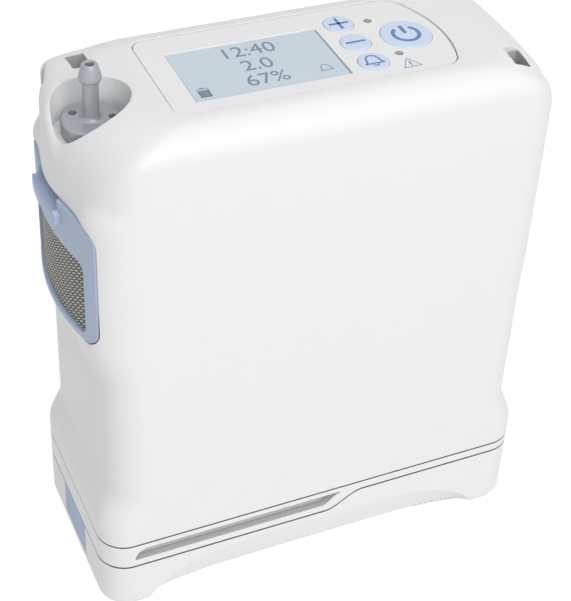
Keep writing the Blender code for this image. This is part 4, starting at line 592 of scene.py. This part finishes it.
# places and mouths are by side: -1 is the left slot, 1 the right one
strap = {
    "places": {-1: (-60.2 * mm, 16.0 * mm), 1: (56.8 * mm, -22.0 * mm)}, "width": 5.2 * mm,
    "span": 8.2 * mm, "corner": 0.7 * mm, "floor": 163.0 * mm, "mouths": {-1: 8.0 * mm, 1: 5.6 * mm},
    "wall": 2.0 * mm,
}
sockets = {
    "dc": (64 * mm, -12 * mm, 58 * mm), "dcDepth": 10 * mm, "dcRadius": 4.1 * mm,
    "usbLow": (64 * mm, 3.7 * mm, 56.1 * mm), "usbHigh": (74 * mm, 12.3 * mm, 59.9 * mm),
}
intake = {
    "half": 27.0 * mm, "low": 105.8 * mm, "high": 146.8 * mm, "corner": 6.0 * mm, "face": 75.7 * mm,
    "arc": 74.0 * mm, "back": 69.6 * mm, "seat": 1.8 * mm, "land": 3 * mm, "meshHalf": 21.6 * mm,
    "meshLow": 107.8 * mm, "meshHigh": 133.2 * mm, "meshCorner": 3.0 * mm, "lipHalf": 10.5 * mm,
    "lipLow": 138.6 * mm, "lipHigh": 143.6 * mm, "lipCorner": 1.3 * mm, "lipBack": 70.6 * mm,
    "lipReach": 1.6 * mm, "pocketHalf": 8.5 * mm, "pocketFront": 85 * mm, "pocketBack": 71.3 * mm,
    "pocketLow": 142.8 * mm, "pocketHigh": 152 * mm, "pocketCorner": 1.4 * mm, "clothGap": 0.3 * mm,
    "clothFront": 1.0 * mm, "clothBack": 1.9 * mm, "edgeRound": 0.35 * mm, "arcSteps": 48,
}


def intakeOutline(inset):
    return roundedOutline(-intake["half"] + inset, intake["half"] - inset, intake["low"] + inset,
                          intake["high"] - inset, intake["corner"] - inset)


def meshOutline(inset):
    return roundedOutline(-intake["meshHalf"] + inset, intake["meshHalf"] - inset, intake["meshLow"] + inset,
                          intake["meshHigh"] - inset, intake["meshCorner"] - inset, 6)


# the edges of the housing that show: rims of the well, panel, straps and filter, and the joint below
def rimOfHousing(spot):
    fromWell = math.hypot(spot.x - well["x"], spot.y - well["y"])
    if fromWell < well["radius"] + 0.3 * mm:
        return spot.z > well["floor"] + 1.5 * mm or spot.x < -70 * mm
    if spot.z > body["top"] - 0.3 * mm:
        return True
    if spot.z < body["seamUpper"] + 0.5 * mm:
        return abs(spot.y) > body["depth"] - 1 * mm or abs(spot.x) > body["baseHalf"] - 9 * mm
    for side, (x, y) in strap["places"].items():
        if spot.x * side > abs(x) - 5 * mm and abs(spot.y - y) < 7 * mm and spot.z > strap["floor"] - 1 * mm:
            return spot.x * side > abs(x) + 8 * mm or spot.z > 168.5 * mm
    return spot.x < -intake["back"] and intake["low"] - 2 * mm < spot.z < intake["high"] + 2 * mm


def buildHousing():
    roofBelow = body["top"] - body["roof"]
    shell = bodySolid("housing_shell", 0.0, body["seamUpper"] + body["seam"] / 2, body["top"], True)
    cavity = bodySolid("housing cavity", body["wall"], body["seamUpper"] - past, roofBelow, False)
    cut(cavity, rod("well wall", (well["x"], well["y"], well["floor"] - well["wall"]), well["height"],
                    well["radius"] + well["wall"]))
    seat = intake["back"] - intake["seat"]
    half = intake["half"] + intake["land"]
    cut(cavity, block("intake seat", (-outside, -half, intake["low"] - intake["land"]),
                      (-seat, half, intake["high"] + intake["land"])))
    for side, (x, y) in strap["places"].items():
        near = x - side * (strap["width"] / 2 + strap["wall"])
        far = side * (body["waistHalf"] + body["wellBulge"])
        half = strap["span"] / 2 + strap["wall"]
        cut(cavity, block("strap seat", (min(near, far), y - half, strap["floor"] - strap["wall"]),
                          (max(near, far), y + half, body["top"])))
    cut(shell, cavity)
    cut(shell, rod("well", (well["x"], well["y"], well["floor"]), well["height"], well["radius"], sides=96))
    cut(shell, rod("spigot hole", (well["x"], well["y"], well["floor"] - past), 2 * past, well["spigot"]))
    cut(shell, plate("panel pocket", panelOutline(-body["gap"]), panel["face"] - panel["thick"] - body["gap"],
                     body["top"] + past))
    cut(shell, plate("panel opening", panelOutline(panel["ledge"]), roofBelow - past, panel["face"]))
    cut(shell, plate("intake recess", intakeOutline(-body["gap"]), -outside, -intake["back"] + body["gap"],
                     "YZ"))
    cut(shell, plate("intake window", meshOutline(0.0), -intake["back"] - past, -seat + past, "YZ"))
    cut(shell, rod("dc hole", sockets["dc"], sockets["dcDepth"], sockets["dcRadius"], "X"))
    cut(shell, block("usb hole", sockets["usbLow"], sockets["usbHigh"]))
    for side, (x, y) in strap["places"].items():
        outline = roundedOutline(x - strap["width"] / 2, x + strap["width"] / 2, y - strap["span"] / 2,
                                 y + strap["span"] / 2, strap["corner"], 6)
        cut(shell, plate("strap hole", outline, strap["floor"], body["top"] + past))
        far = side * outside
        cut(shell, block("strap mouth", (min(x, far), y - strap["span"] / 2, strap["floor"]),
                         (max(x, far), y + strap["span"] / 2, strap["floor"] + strap["mouths"][side])))
    settle(shell)
    softEdges(shell, body["edgeRound"], rimOfHousing)
    return shell


shell = buildHousing()
dress(shell, "housing", "housing_white", ["upper_housing"])
print("housing", len(shell.data.polygons))


def stepXs(count=24):
    return between(body["stepStart"], body["stepEnd"], count)


def seamHeight(x):
    rise = body["seamRight"] - body["seamLeft"]
    return body["seamLeft"] + rise * ease(x, body["stepStart"], body["stepEnd"])


# everything above or below the stepped joint between the tray and the battery
def splitRegion(name, shift, above):
    reach = body["baseHalf"] + past
    run = [(x, seamHeight(x) + shift) for x in [-reach] + stepXs() + [reach]]
    far = body["seamUpper"] + 2 * past if above else -past
    outline = run + [(reach, far), (-reach, far)]
    return plate(name, outline, -body["depth"] - past, body["depth"] + past, "XZ")


slot = {
    "left": -63.0 * mm, "right": 7.0 * mm, "low": 21.6 * mm, "high": 26.0 * mm, "depth": 5.0 * mm,
    "lead": 1.5 * mm, "tip": 0.4 * mm, "tipShare": 0.9, "rampSteps": 12, "endSteps": 10,
}


def slotOutline():
    height = slot["high"] - slot["low"]
    start = body["stepStart"] - slot["lead"]
    points = [(slot["left"], slot["low"])]
    for x in between(start, slot["right"], slot["rampSteps"]):
        points.append((x, slot["low"] + height * slot["tipShare"] * ease(x, start, slot["right"])))
    points.append((slot["right"] - slot["tip"], slot["high"]))
    for k in range(1, slot["endSteps"]):
        angle = math.pi / 2 * k / slot["endSteps"]
        points.append((slot["left"] + height * (1 - math.sin(angle)), slot["low"] + height * math.cos(angle)))
    return points


def onOutside(spot):
    acrossX = abs(spot.x) - (body["baseHalf"] - body["baseCorner"])
    acrossY = abs(spot.y) - (body["depth"] - body["baseCorner"])
    if acrossX > 0 and acrossY > 0:
        return math.hypot(acrossX, acrossY) > body["baseCorner"] - 0.3 * mm
    return max(acrossX, acrossY) > body["baseCorner"] - 0.3 * mm


tray = {
    "pocket": (-66.6 * mm, -0.4 * mm, -28.1 * mm, 28.1 * mm, 9 * mm), "pocketFloor": 21.1 * mm,
    "screwX": 66 * mm, "screwY": 26.3 * mm, "headSeat": 2.2 * mm, "passLow": 17 * mm,
    "passLength": 12 * mm, "passRadius": 1.6 * mm, "headLow": 14 * mm, "headRadius": 2.9 * mm,
    "socketLow": (31.7 * mm, -5.3 * mm, 20.6 * mm), "socketHigh": (52.3 * mm, 5.3 * mm, 27.4 * mm),
}


def buildTray():
    outline = roundedOutline(-body["baseHalf"], body["baseHalf"], -body["depth"], body["depth"],
                             body["baseCorner"], 16)
    top = body["seamUpper"] - body["seam"] / 2
    base = plate("base_tray", outline, body["seamLeft"] - 1 * mm, top)
    cut(base, splitRegion("below tray", body["seam"] / 2, False))
    cut(base, plate("tray pocket", roundedOutline(*tray["pocket"]), tray["pocketFloor"], top + past))
    cut(base, plate("exhaust slot", slotOutline(), -body["depth"] - past, -body["depth"] + slot["depth"],
                    "XZ"))
    for x in (-tray["screwX"], tray["screwX"]):
        for y in (-tray["screwY"], tray["screwY"]):
            seat = seamHeight(x) + body["seam"] / 2 + tray["headSeat"]
            cut(base, rod("screw pass", (x, y, tray["passLow"]), tray["passLength"], tray["passRadius"],
                          sides=24))
            cut(base, rod("screw recess", (x, y, tray["headLow"]), seat - tray["headLow"],
                          tray["headRadius"], sides=24))
    cut(base, block("socket hole", tray["socketLow"], tray["socketHigh"]))
    settle(base)
    softEdges(base, body["edgeRound"], onOutside)
    return dress(base, "housing", "housing_white", ["lower_housing"])


battery = {
    "edge": 4.0 * mm, "arch": 59.2 * mm, "archHeight": 16.4 * mm, "archDepth": 7.2 * mm, "archEnd": 2.0 * mm,
    "bayHalf": 61.0 * mm, "bayDepth": 24.2 * mm, "floor": 2.4 * mm, "lid": 2.3 * mm,
    "latchLow": (-80 * mm, -10.9 * mm, 5.3 * mm), "latchHigh": (-67.2 * mm, 10.9 * mm, 23 * mm),
    "pin": (-70.2 * mm, -13.5 * mm, 7.4 * mm), "pinLength": 27 * mm, "pinRadius": 1.2 * mm,
    "spring": (-68.2 * mm, 0, 14.6 * mm), "springLength": 4 * mm, "springRadius": 2.3 * mm,
    "rimAbove": 17.5 * mm, "creaseHalf": 54 * mm, "creaseDepth": 25 * mm, "creaseAngle": 14,
}


def archTool(name, side):
    rings = []
    outer = body["depth"] + 8 * mm
    steps = 60
    for k in range(steps + 1):
        reach = math.sin(math.pi * (k / steps - 0.5))
        curve = 1 - abs(reach) ** 5
        height = battery["archEnd"] + (battery["archHeight"] - battery["archEnd"]) * curve
        inward = battery["archEnd"] + (battery["archDepth"] - battery["archEnd"]) * math.sqrt(curve)
        slope = inward / height
        x = battery["arch"] * reach
        rings.append([(x, side * outer, height + 8 * mm / slope), (x, side * outer, -4 * mm),
                      (x, side * (body["depth"] - inward - 4 * mm * slope), -4 * mm)])
    return loft(name, rings)


# the outer rim, and the arches' edges short of their thin ends, where a bevel would spike
def batteryEdge(spot):
    if spot.z > battery["rimAbove"]:
        return onOutside(spot)
    return abs(spot.x) < battery["creaseHalf"] and abs(spot.y) > battery["creaseDepth"]


def buildBattery():
    rings = []
    for k in range(11):
        angle = math.pi / 2 * k / 10
        inset = battery["edge"] * (1 - math.sin(angle))
        outline = roundedOutline(-body["baseHalf"] + inset, body["baseHalf"] - inset, -body["depth"] + inset,
                                 body["depth"] - inset, body["baseCorner"] - inset * 0.6, 16)
        rings.append([(u, v, battery["edge"] * (1 - math.cos(angle))) for u, v in outline])
    rings.append([(x, y, body["seamRight"] + 1 * mm) for x, y, _ in rings[-1]])
    case = loft("battery_shell", rings)
    cut(case, splitRegion("above battery", -body["seam"] / 2, True))
    cut(case, block("cell bay", (-battery["bayHalf"], -battery["bayDepth"], battery["floor"]),
                    (battery["bayHalf"], battery["bayDepth"], 30 * mm)))
    end = battery["bayHalf"] + battery["lid"]
    half = battery["bayDepth"] + battery["lid"]
    xs = [-end] + stepXs(10) + [end]
    strip = [(x, seamHeight(x) + past) for x in xs]
    strip += [(x, seamHeight(x) - battery["lid"]) for x in reversed(xs)]
    cut(case, plate("lid rebate", strip, -half, half, "XZ"))
    cut(case, block("latch recess", battery["latchLow"], battery["latchHigh"]))
    cut(case, rod("pin bore", battery["pin"], battery["pinLength"], battery["pinRadius"], "Y", 24))
    cut(case, rod("spring pocket", battery["spring"], battery["springLength"], battery["springRadius"],
                  "X", 24))
    cut(case, archTool("front arch", -1))
    cut(case, archTool("rear arch", 1))
    settle(case)
    softEdges(case, body["edgeRound"], batteryEdge, battery["creaseAngle"])
    return dress(case, "battery", "housing_white", ["battery_case"])


keys = {
    "plus": (15.2 * mm, 8.8 * mm, 4.35 * mm), "minus": (15.5 * mm, -2.2 * mm, 4.35 * mm),
    "alert": (15.8 * mm, -13.3 * mm, 4.35 * mm), "power": (31.2 * mm, -2.7 * mm, 7.4 * mm),
}
lamps = {"breath": (24.1 * mm, 8.0 * mm), "alert": (24.8 * mm, -11.3 * mm)}
openings = {
    "rebateLow": (-37.8 * mm, -16.9 * mm, 173.2 * mm), "rebateHigh": (7.8 * mm, 8.8 * mm, 180 * mm),
    "screenLow": (-35.5 * mm, -14.6 * mm, 168 * mm), "screenHigh": (5.5 * mm, 6.5 * mm, 180 * mm),
    "low": 168 * mm, "length": 12 * mm, "keyGap": 0.2 * mm, "lampRadius": 1.15 * mm,
}


def buildPanel():
    plateTop = panel["face"]
    sheet = plate("panel_plate", panelOutline(0.0), plateTop - panel["thick"], plateTop)
    cut(sheet, block("screen rebate", openings["rebateLow"], openings["rebateHigh"]))
    cut(sheet, block("screen opening", openings["screenLow"], openings["screenHigh"]))
    for name, (x, y, radius) in keys.items():
        cut(sheet, rod(name + " hole", (x, y, openings["low"]), openings["length"],
                       radius + openings["keyGap"], sides=72))
    for x, y in lamps.values():
        cut(sheet, rod("lamp hole", (x, y, openings["low"]), openings["length"], openings["lampRadius"],
                       sides=32))
    settle(sheet)
    softEdges(sheet, panel["edgeRound"], lambda spot: spot.z > plateTop - 0.1 * mm)
    return dress(sheet, "housing", "panel_white", ["control_panel"])


# flat raised print: joins the outlines into one thin piece on the key face
def printed(name, outlines, height, thick=0.05 * mm):
    bm = bmesh.new()
    for outline in outlines:
        lower = [bm.verts.new((u, v, height - 0.02 * mm)) for u, v in outline]
        upper = [bm.verts.new((u, v, height + thick)) for u, v in outline]
        count = len(outline)
        for k in range(count):
            after = (k + 1) % count
            bm.faces.new((lower[k], lower[after], upper[after], upper[k]))
        bm.faces.new(reversed(lower))
        bm.faces.new(upper)
    return meshObject(name, bm)


def bar(x, y, length, width):
    half = [(-length / 2, -width / 2), (length / 2, -width / 2), (length / 2, width / 2),
            (-length / 2, width / 2)]
    return [(x + u, y + v) for u, v in half]


# a line of some width through points, as a row of quads
def stroke(points, width, closed=False):
    quads = []
    count = len(points)
    sides = []
    for k, (x, y) in enumerate(points):
        before = points[k - 1] if k or closed else points[k]
        after = points[(k + 1) % count] if k < count - 1 or closed else points[k]
        run = Vector((after[0] - before[0], after[1] - before[1])).normalized()
        sides.append(Vector((-run.y, run.x)) * width / 2)
    for k in range(count if closed else count - 1):
        after = (k + 1) % count
        a, b = Vector(points[k]), Vector(points[after])
        quads.append([tuple(a - sides[k]), tuple(b - sides[after]), tuple(b + sides[after]), tuple(a + sides[k])])
    return quads


def arc(x, y, radius, start, end, count):
    turn = [math.radians(start + (end - start) * k / count) for k in range(count + 1)]
    return [(x + radius * math.cos(a), y + radius * math.sin(a)) for a in turn]


def bellLine(x, y, size):
    half = [(-1.0, -0.55), (-0.72, -0.3), (-0.66, 0.25), (-0.45, 0.7), (-0.12, 0.88)]
    right = [(-u, v) for u, v in reversed(half)]
    return [(x + u * size, y + v * size) for u, v in half + right]


cap = {
    "face": 175.15 * mm, "depth": 5 * mm, "foot": 0.6 * mm, "flange": 2.4 * mm, "spread": 0.12 * mm,
    "roundHigh": 0.35 * mm, "roundWide": 0.4 * mm, "roundIn": 0.28 * mm, "pole": 0.0002 * mm,
}
mark = {
    "line": 0.9 * mm, "length": 6.0 * mm, "bell": 2.9 * mm, "bellUp": 0.3 * mm, "bellLine": 0.55 * mm,
    "clapper": 0.95 * mm, "clapperDown": 1.5 * mm, "clapperLine": 0.5 * mm, "ring": 3.8 * mm,
    "ringLine": 1.15 * mm, "stemUp": 2.5 * mm, "stem": 4.2 * mm,
}
sign = {
    "x": 25.3 * mm, "y": -17.2 * mm, "half": 2.7 * mm, "down": 2.0 * mm, "up": 2.5 * mm,
    "line": 0.45 * mm, "bar": 1.7 * mm, "barUp": 0.1 * mm, "dotDown": 1.3 * mm,
}


def buildCaps():
    for name, (x, y, radius) in keys.items():
        low = cap["face"] - cap["depth"]
        shoulder = cap["face"] - cap["roundHigh"]
        profile = [(cap["pole"], low), (radius - cap["foot"], low),
                   (radius + cap["spread"], cap["face"] - cap["flange"]), (radius + cap["spread"], shoulder)]
        for k in range(1, 7):
            angle = math.pi / 2 * k / 6
            profile.append((radius - cap["roundIn"] + cap["roundWide"] * math.cos(angle),
                            shoulder + cap["roundHigh"] * math.sin(angle)))
        profile.append((cap["pole"], cap["face"]))
        made = turned(name + "_cap", profile, (x, y), 72)
        dress(made, name + "_key", "button_blue", [name + "_button"])


def buildPrints():
    x, y, _ = keys["plus"]
    marks = {"plus": [bar(x, y, mark["length"], mark["line"]), bar(x, y, mark["line"], mark["length"])]}
    x, y, _ = keys["minus"]
    marks["minus"] = [bar(x, y, mark["length"], mark["line"])]
    x, y, _ = keys["alert"]
    clapper = arc(x, y - mark["clapperDown"], mark["clapper"], 200, 340, 8)
    marks["alert"] = stroke(bellLine(x, y + mark["bellUp"], mark["bell"]), mark["bellLine"], True)
    marks["alert"] += stroke(clapper, mark["clapperLine"])
    x, y, _ = keys["power"]
    marks["power"] = stroke(arc(x, y, mark["ring"], 125, 415, 40), mark["ringLine"])
    marks["power"] += [bar(x, y + mark["stemUp"], mark["ringLine"], mark["stem"])]
    for name, outlines in marks.items():
        dress(printed(name + "_print", outlines, cap["face"]), name + "_key", "print_blue")
    x, y = sign["x"], sign["y"]
    corners = [(x - sign["half"], y - sign["down"]), (x + sign["half"], y - sign["down"]), (x, y + sign["up"])]
    lines = stroke(corners, sign["line"], True)
    lines += [bar(x, y + sign["barUp"], sign["line"], sign["bar"]),
              bar(x, y - sign["dotDown"], sign["line"], sign["line"])]
    dress(printed("alert_lamp_print", lines, panel["face"]), "housing", "print_blue")


screen = {
    "face": 174.4 * mm, "thick": 0.03 * mm, "line": 0.3 * mm, "bell": (2.3 * mm, -11.2 * mm, 2.0 * mm),
    "cell": (-34.0 * mm, -12.6 * mm), "cellHalf": 1.5 * mm, "cellDown": 2 * mm, "cellUp": 2.1 * mm,
    "chargeDown": 0.35 * mm, "charge": (3.0 * mm, 3.4 * mm), "poleUp": 2.4 * mm,
    "pole": (1.4 * mm, 0.5 * mm), "textX": -15.0 * mm, "textSize": 7.6 * mm, "textThick": 0.02 * mm,
    "textUp": 0.01 * mm,
}
screenLines = (("screen_line_1", "12:40", 1.9 * mm), ("screen_line_2", "2.0", -5.8 * mm),
               ("screen_line_3", "67%", -13.4 * mm))


def buildScreen():
    marks = stroke(bellLine(*screen["bell"]), screen["line"], True)
    x, y = screen["cell"]
    left, right, low, high = (x - screen["cellHalf"], x + screen["cellHalf"], y - screen["cellDown"],
                              y + screen["cellUp"])
    marks += [bar(x, y - screen["chargeDown"], *screen["charge"]), bar(x, y + screen["poleUp"], *screen["pole"])]
    marks += stroke([(left, low), (right, low), (right, high), (left, high)], screen["line"], True)
    dress(printed("screen_icons", marks, screen["face"], screen["thick"]), "housing", "screen_mark")
    for name, words, textY in screenLines:
        letters = bpy.data.curves.new(name, "FONT")
        letters.body = words
        letters.size = screen["textSize"]
        letters.align_x = "CENTER"
        letters.extrude = screen["textThick"]
        shown = bpy.data.objects.new(name + "_text", letters)
        bpy.context.scene.collection.objects.link(shown)
        bpy.context.view_layer.update()
        flat = bpy.data.meshes.new_from_object(shown.evaluated_get(bpy.context.evaluated_depsgraph_get()))
        bpy.data.objects.remove(shown, do_unlink=True)
        flat.transform(Matrix.Translation((screen["textX"], textY, screen["face"] + screen["textUp"])))
        line = bpy.data.objects.new(name, flat)
        bpy.context.scene.collection.objects.link(line)
        dress(line, "housing", "screen_mark")


nozzle = {
    "holes": (-0.2, 2.37), "holeCircle": 5.7 * mm, "holeRadius": 1.2 * mm, "holeDepth": 2.6 * mm,
    "top": 184.0 * mm, "collar": 167.3 * mm, "collarRadius": 8.35 * mm, "collarRound": 0.6 * mm,
    "foot": 163.1 * mm, "footIn": 0.5 * mm, "footUp": 0.3 * mm, "bottom": 155.3 * mm, "bore": 1.1 * mm,
    "spigot": 3.6 * mm, "neck": 3.65 * mm, "neckRound": 1.4 * mm, "boreEnd": (1.05 * mm, 156 * mm),
}
# radius and distance below the top in millimetres, up the outside of the barb and down its bore
barb = ((2.25, 5.3), (2.5, 5.1), (2.95, 4.8), (3.12, 4.5), (3.15, 4.1), (3.1, 3.6), (2.95, 2.9), (2.68, 1.9),
        (2.4, 0.9), (2.22, 0.35), (2.02, 0), (1.4, 0), (1.22, 0.2), (1.2, 3), (1.05, 3.4))


def buildNozzle():
    collar, wide, foot = nozzle["collar"], nozzle["collarRadius"], nozzle["foot"]
    edge, neck = nozzle["collarRound"], nozzle["neckRound"]
    profile = [(nozzle["bore"], nozzle["bottom"]), (nozzle["spigot"], nozzle["bottom"]), (nozzle["spigot"], foot),
               (wide - nozzle["footIn"], foot), (wide, foot + nozzle["footUp"])]
    for k in range(6):
        angle = math.pi / 2 * k / 5
        profile.append((wide - edge + edge * math.cos(angle), collar - edge + edge * math.sin(angle)))
    for k in range(9):
        angle = math.pi / 2 * k / 8
        profile.append((nozzle["neck"] - neck * math.sin(angle), collar + neck * (1 - math.cos(angle))))
    profile += [(radius * mm, nozzle["top"] - drop * mm) for radius, drop in barb]
    profile.append(nozzle["boreEnd"])
    tip = turned("outlet_nozzle", profile, (well["x"], well["y"]), 64, endless=True)
    for turn in nozzle["holes"]:
        x = well["x"] + nozzle["holeCircle"] * math.cos(turn)
        y = well["y"] + nozzle["holeCircle"] * math.sin(turn)
        cut(tip, rod("spanner hole", (x, y, collar - nozzle["holeDepth"]), past, nozzle["holeRadius"], sides=32))
    settle(tip)
    dress(tip, "nozzle", "nozzle_grey", ["cannula_nozzle"])


# a slab whose faces bow as the filter does; with no inner face it is flat behind
def bowedSlab(name, outer, inner):
    span = intake["half"] + past
    steps = intake["arcSteps"]

    def side(face):
        ys = [span * (2 * k / steps - 1) for k in range(steps + 1)]
        return [(intake["arc"] - face - math.sqrt(intake["arc"] ** 2 - y * y), y) for y in ys]

    back = [(-intake["back"] + past, span), (-intake["back"] + past, -span)]
    if inner is not None:
        back = side(inner)[::-1]
    return plate(name, side(outer) + back, intake["low"] - past, intake["high"] + past)


def buildIntake():
    rim = plate("filter_frame", intakeOutline(0.0), -outside, -intake["back"], "YZ")
    cut(rim, bowedSlab("filter face", intake["face"], None), "INTERSECT")
    lipShape = roundedOutline(-intake["lipHalf"], intake["lipHalf"], intake["lipLow"], intake["lipHigh"],
                              intake["lipCorner"], 8)
    lip = plate("filter lip", lipShape, -outside, -intake["lipBack"], "YZ")
    cut(lip, bowedSlab("lip face", intake["face"] + intake["lipReach"], None), "INTERSECT")
    cut(rim, lip, "UNION")
    hollow = roundedOutline(-intake["pocketFront"], -intake["pocketBack"], intake["pocketLow"],
                            intake["pocketHigh"], intake["pocketCorner"], 8)
    cut(rim, plate("finger pocket", hollow, -intake["pocketHalf"], intake["pocketHalf"], "XZ"))
    cut(rim, plate("mesh window", meshOutline(0.0), -outside, -60 * mm, "YZ"))
    settle(rim)
    softEdges(rim, intake["edgeRound"], lambda spot: spot.x < -71.2 * mm)
    dress(rim, "intake_filter", "filter_blue", ["intake_filter_frame"])
    cloth = plate("filter_cloth", meshOutline(intake["clothGap"]), -outside, -intake["back"], "YZ")
    faces = bowedSlab("cloth faces", intake["face"] - intake["clothFront"], intake["face"] - intake["clothBack"])
    cut(cloth, faces, "INTERSECT")
    settle(cloth)
    dress(cloth, "intake_filter", "filter_mesh", ["intake_filter_mesh"])


buildTray()
buildBattery()
buildPanel()
buildCaps()
buildPrints()
buildScreen()
buildNozzle()
buildIntake()
print("pieces")


# the camera fitted to the photograph; right, up and ahead are its axes
viewpoint = {
    "right": (0.90968841, -0.41128499, 0.05754705), "up": (0.21545064, 0.58585134, 0.78125491),
    "ahead": (0.35503243, 0.69829999, -0.62155378), "place": (-0.16581, -0.35079, 0.40131),
    "lens": 95.09, "sensor": 36.0, "shiftX": -0.0664, "shiftY": -0.0383, "near": 0.01, "far": 20.0,
}


def buildCamera():
    data = bpy.data.cameras.new("camera")
    data.lens = viewpoint["lens"]
    data.sensor_width = viewpoint["sensor"]
    data.shift_x = viewpoint["shiftX"]
    data.shift_y = viewpoint["shiftY"]
    data.clip_start = viewpoint["near"]
    data.clip_end = viewpoint["far"]
    made = bpy.data.objects.new("camera", data)
    axes = (Vector(viewpoint["right"]), Vector(viewpoint["up"]), -Vector(viewpoint["ahead"]))
    made.matrix_world = Matrix.Translation(viewpoint["place"]) @ Matrix(axes).transposed().to_4x4()
    bpy.context.scene.collection.objects.link(made)
    bpy.context.scene.camera = made


def areaLight(name, place, target, size, power):
    data = bpy.data.lights.new(name, "AREA")
    data.shape = "RECTANGLE"
    data.size = size
    data.size_y = size
    data.energy = power
    made = bpy.data.objects.new(name, data)
    made.location = place
    made.rotation_euler = (Vector(target) - Vector(place)).to_track_quat("-Z", "Y").to_euler()
    bpy.context.scene.collection.objects.link(made)


stage = {
    "floorGlow": 0.72, "glowStrength": 1.22, "worldLight": 0.40, "aim": (0.0, 0.0, 0.09),
    "keyPlace": (0.0, -1.1, 0.9), "keySize": 0.9, "keyPower": 9.3,
    "topPlace": (0.0, -0.1, 1.3), "topSize": 1.2, "topPower": 3.7,
}


# 1 where the camera sees a surface, also by reflection or through glass, and 0 for other light
def seenShare(graph):
    kinds = ("Is Camera Ray", "Is Glossy Ray", "Is Transmission Ray")
    seen = [graph.node("ShaderNodeLightPath", out=kind) for kind in kinds]
    return (seen[0] + seen[1] + seen[2]).atMost(1.0)


def buildStage():
    ground = block("floor", (-6, -6, -0.02), (6, 6, 0.0))
    graph = newMaterial("floor")
    share = seenShare(graph) * stage["floorGlow"]
    tint = graph.mix(graph.noise(3.0), (0.80, 0.80, 0.80), (0.82, 0.82, 0.82))
    shader = graph.node("ShaderNodeBsdfPrincipled", None, {"Base Color": tint, "Roughness": 0.9})
    glow = graph.node("ShaderNodeEmission", None, {"Strength": stage["glowStrength"]})
    both = graph.node("ShaderNodeMixShader", None, {0: share, 1: shader, 2: glow})
    graph.node("ShaderNodeOutputMaterial", None, {"Surface": both}, None)
    ground.data.materials.append(graph.owner)
    world = bpy.data.worlds.new("studio")
    bpy.context.scene.world = world
    sky = Graph(world)
    backdrop = sky.tree.nodes["Background"]
    light = seenShare(sky) * (1.0 - stage["worldLight"]) + stage["worldLight"]
    sky.feed(backdrop.inputs["Strength"], light)
    backdrop.inputs["Color"].default_value = (1, 1, 1, 1)
    areaLight("key", stage["keyPlace"], stage["aim"], stage["keySize"], stage["keyPower"])
    areaLight("top", stage["topPlace"], stage["aim"], stage["topSize"], stage["topPower"])


buildCamera()
buildStage()
view = bpy.context.scene.view_settings
view.view_transform = "Standard"
print("stage")
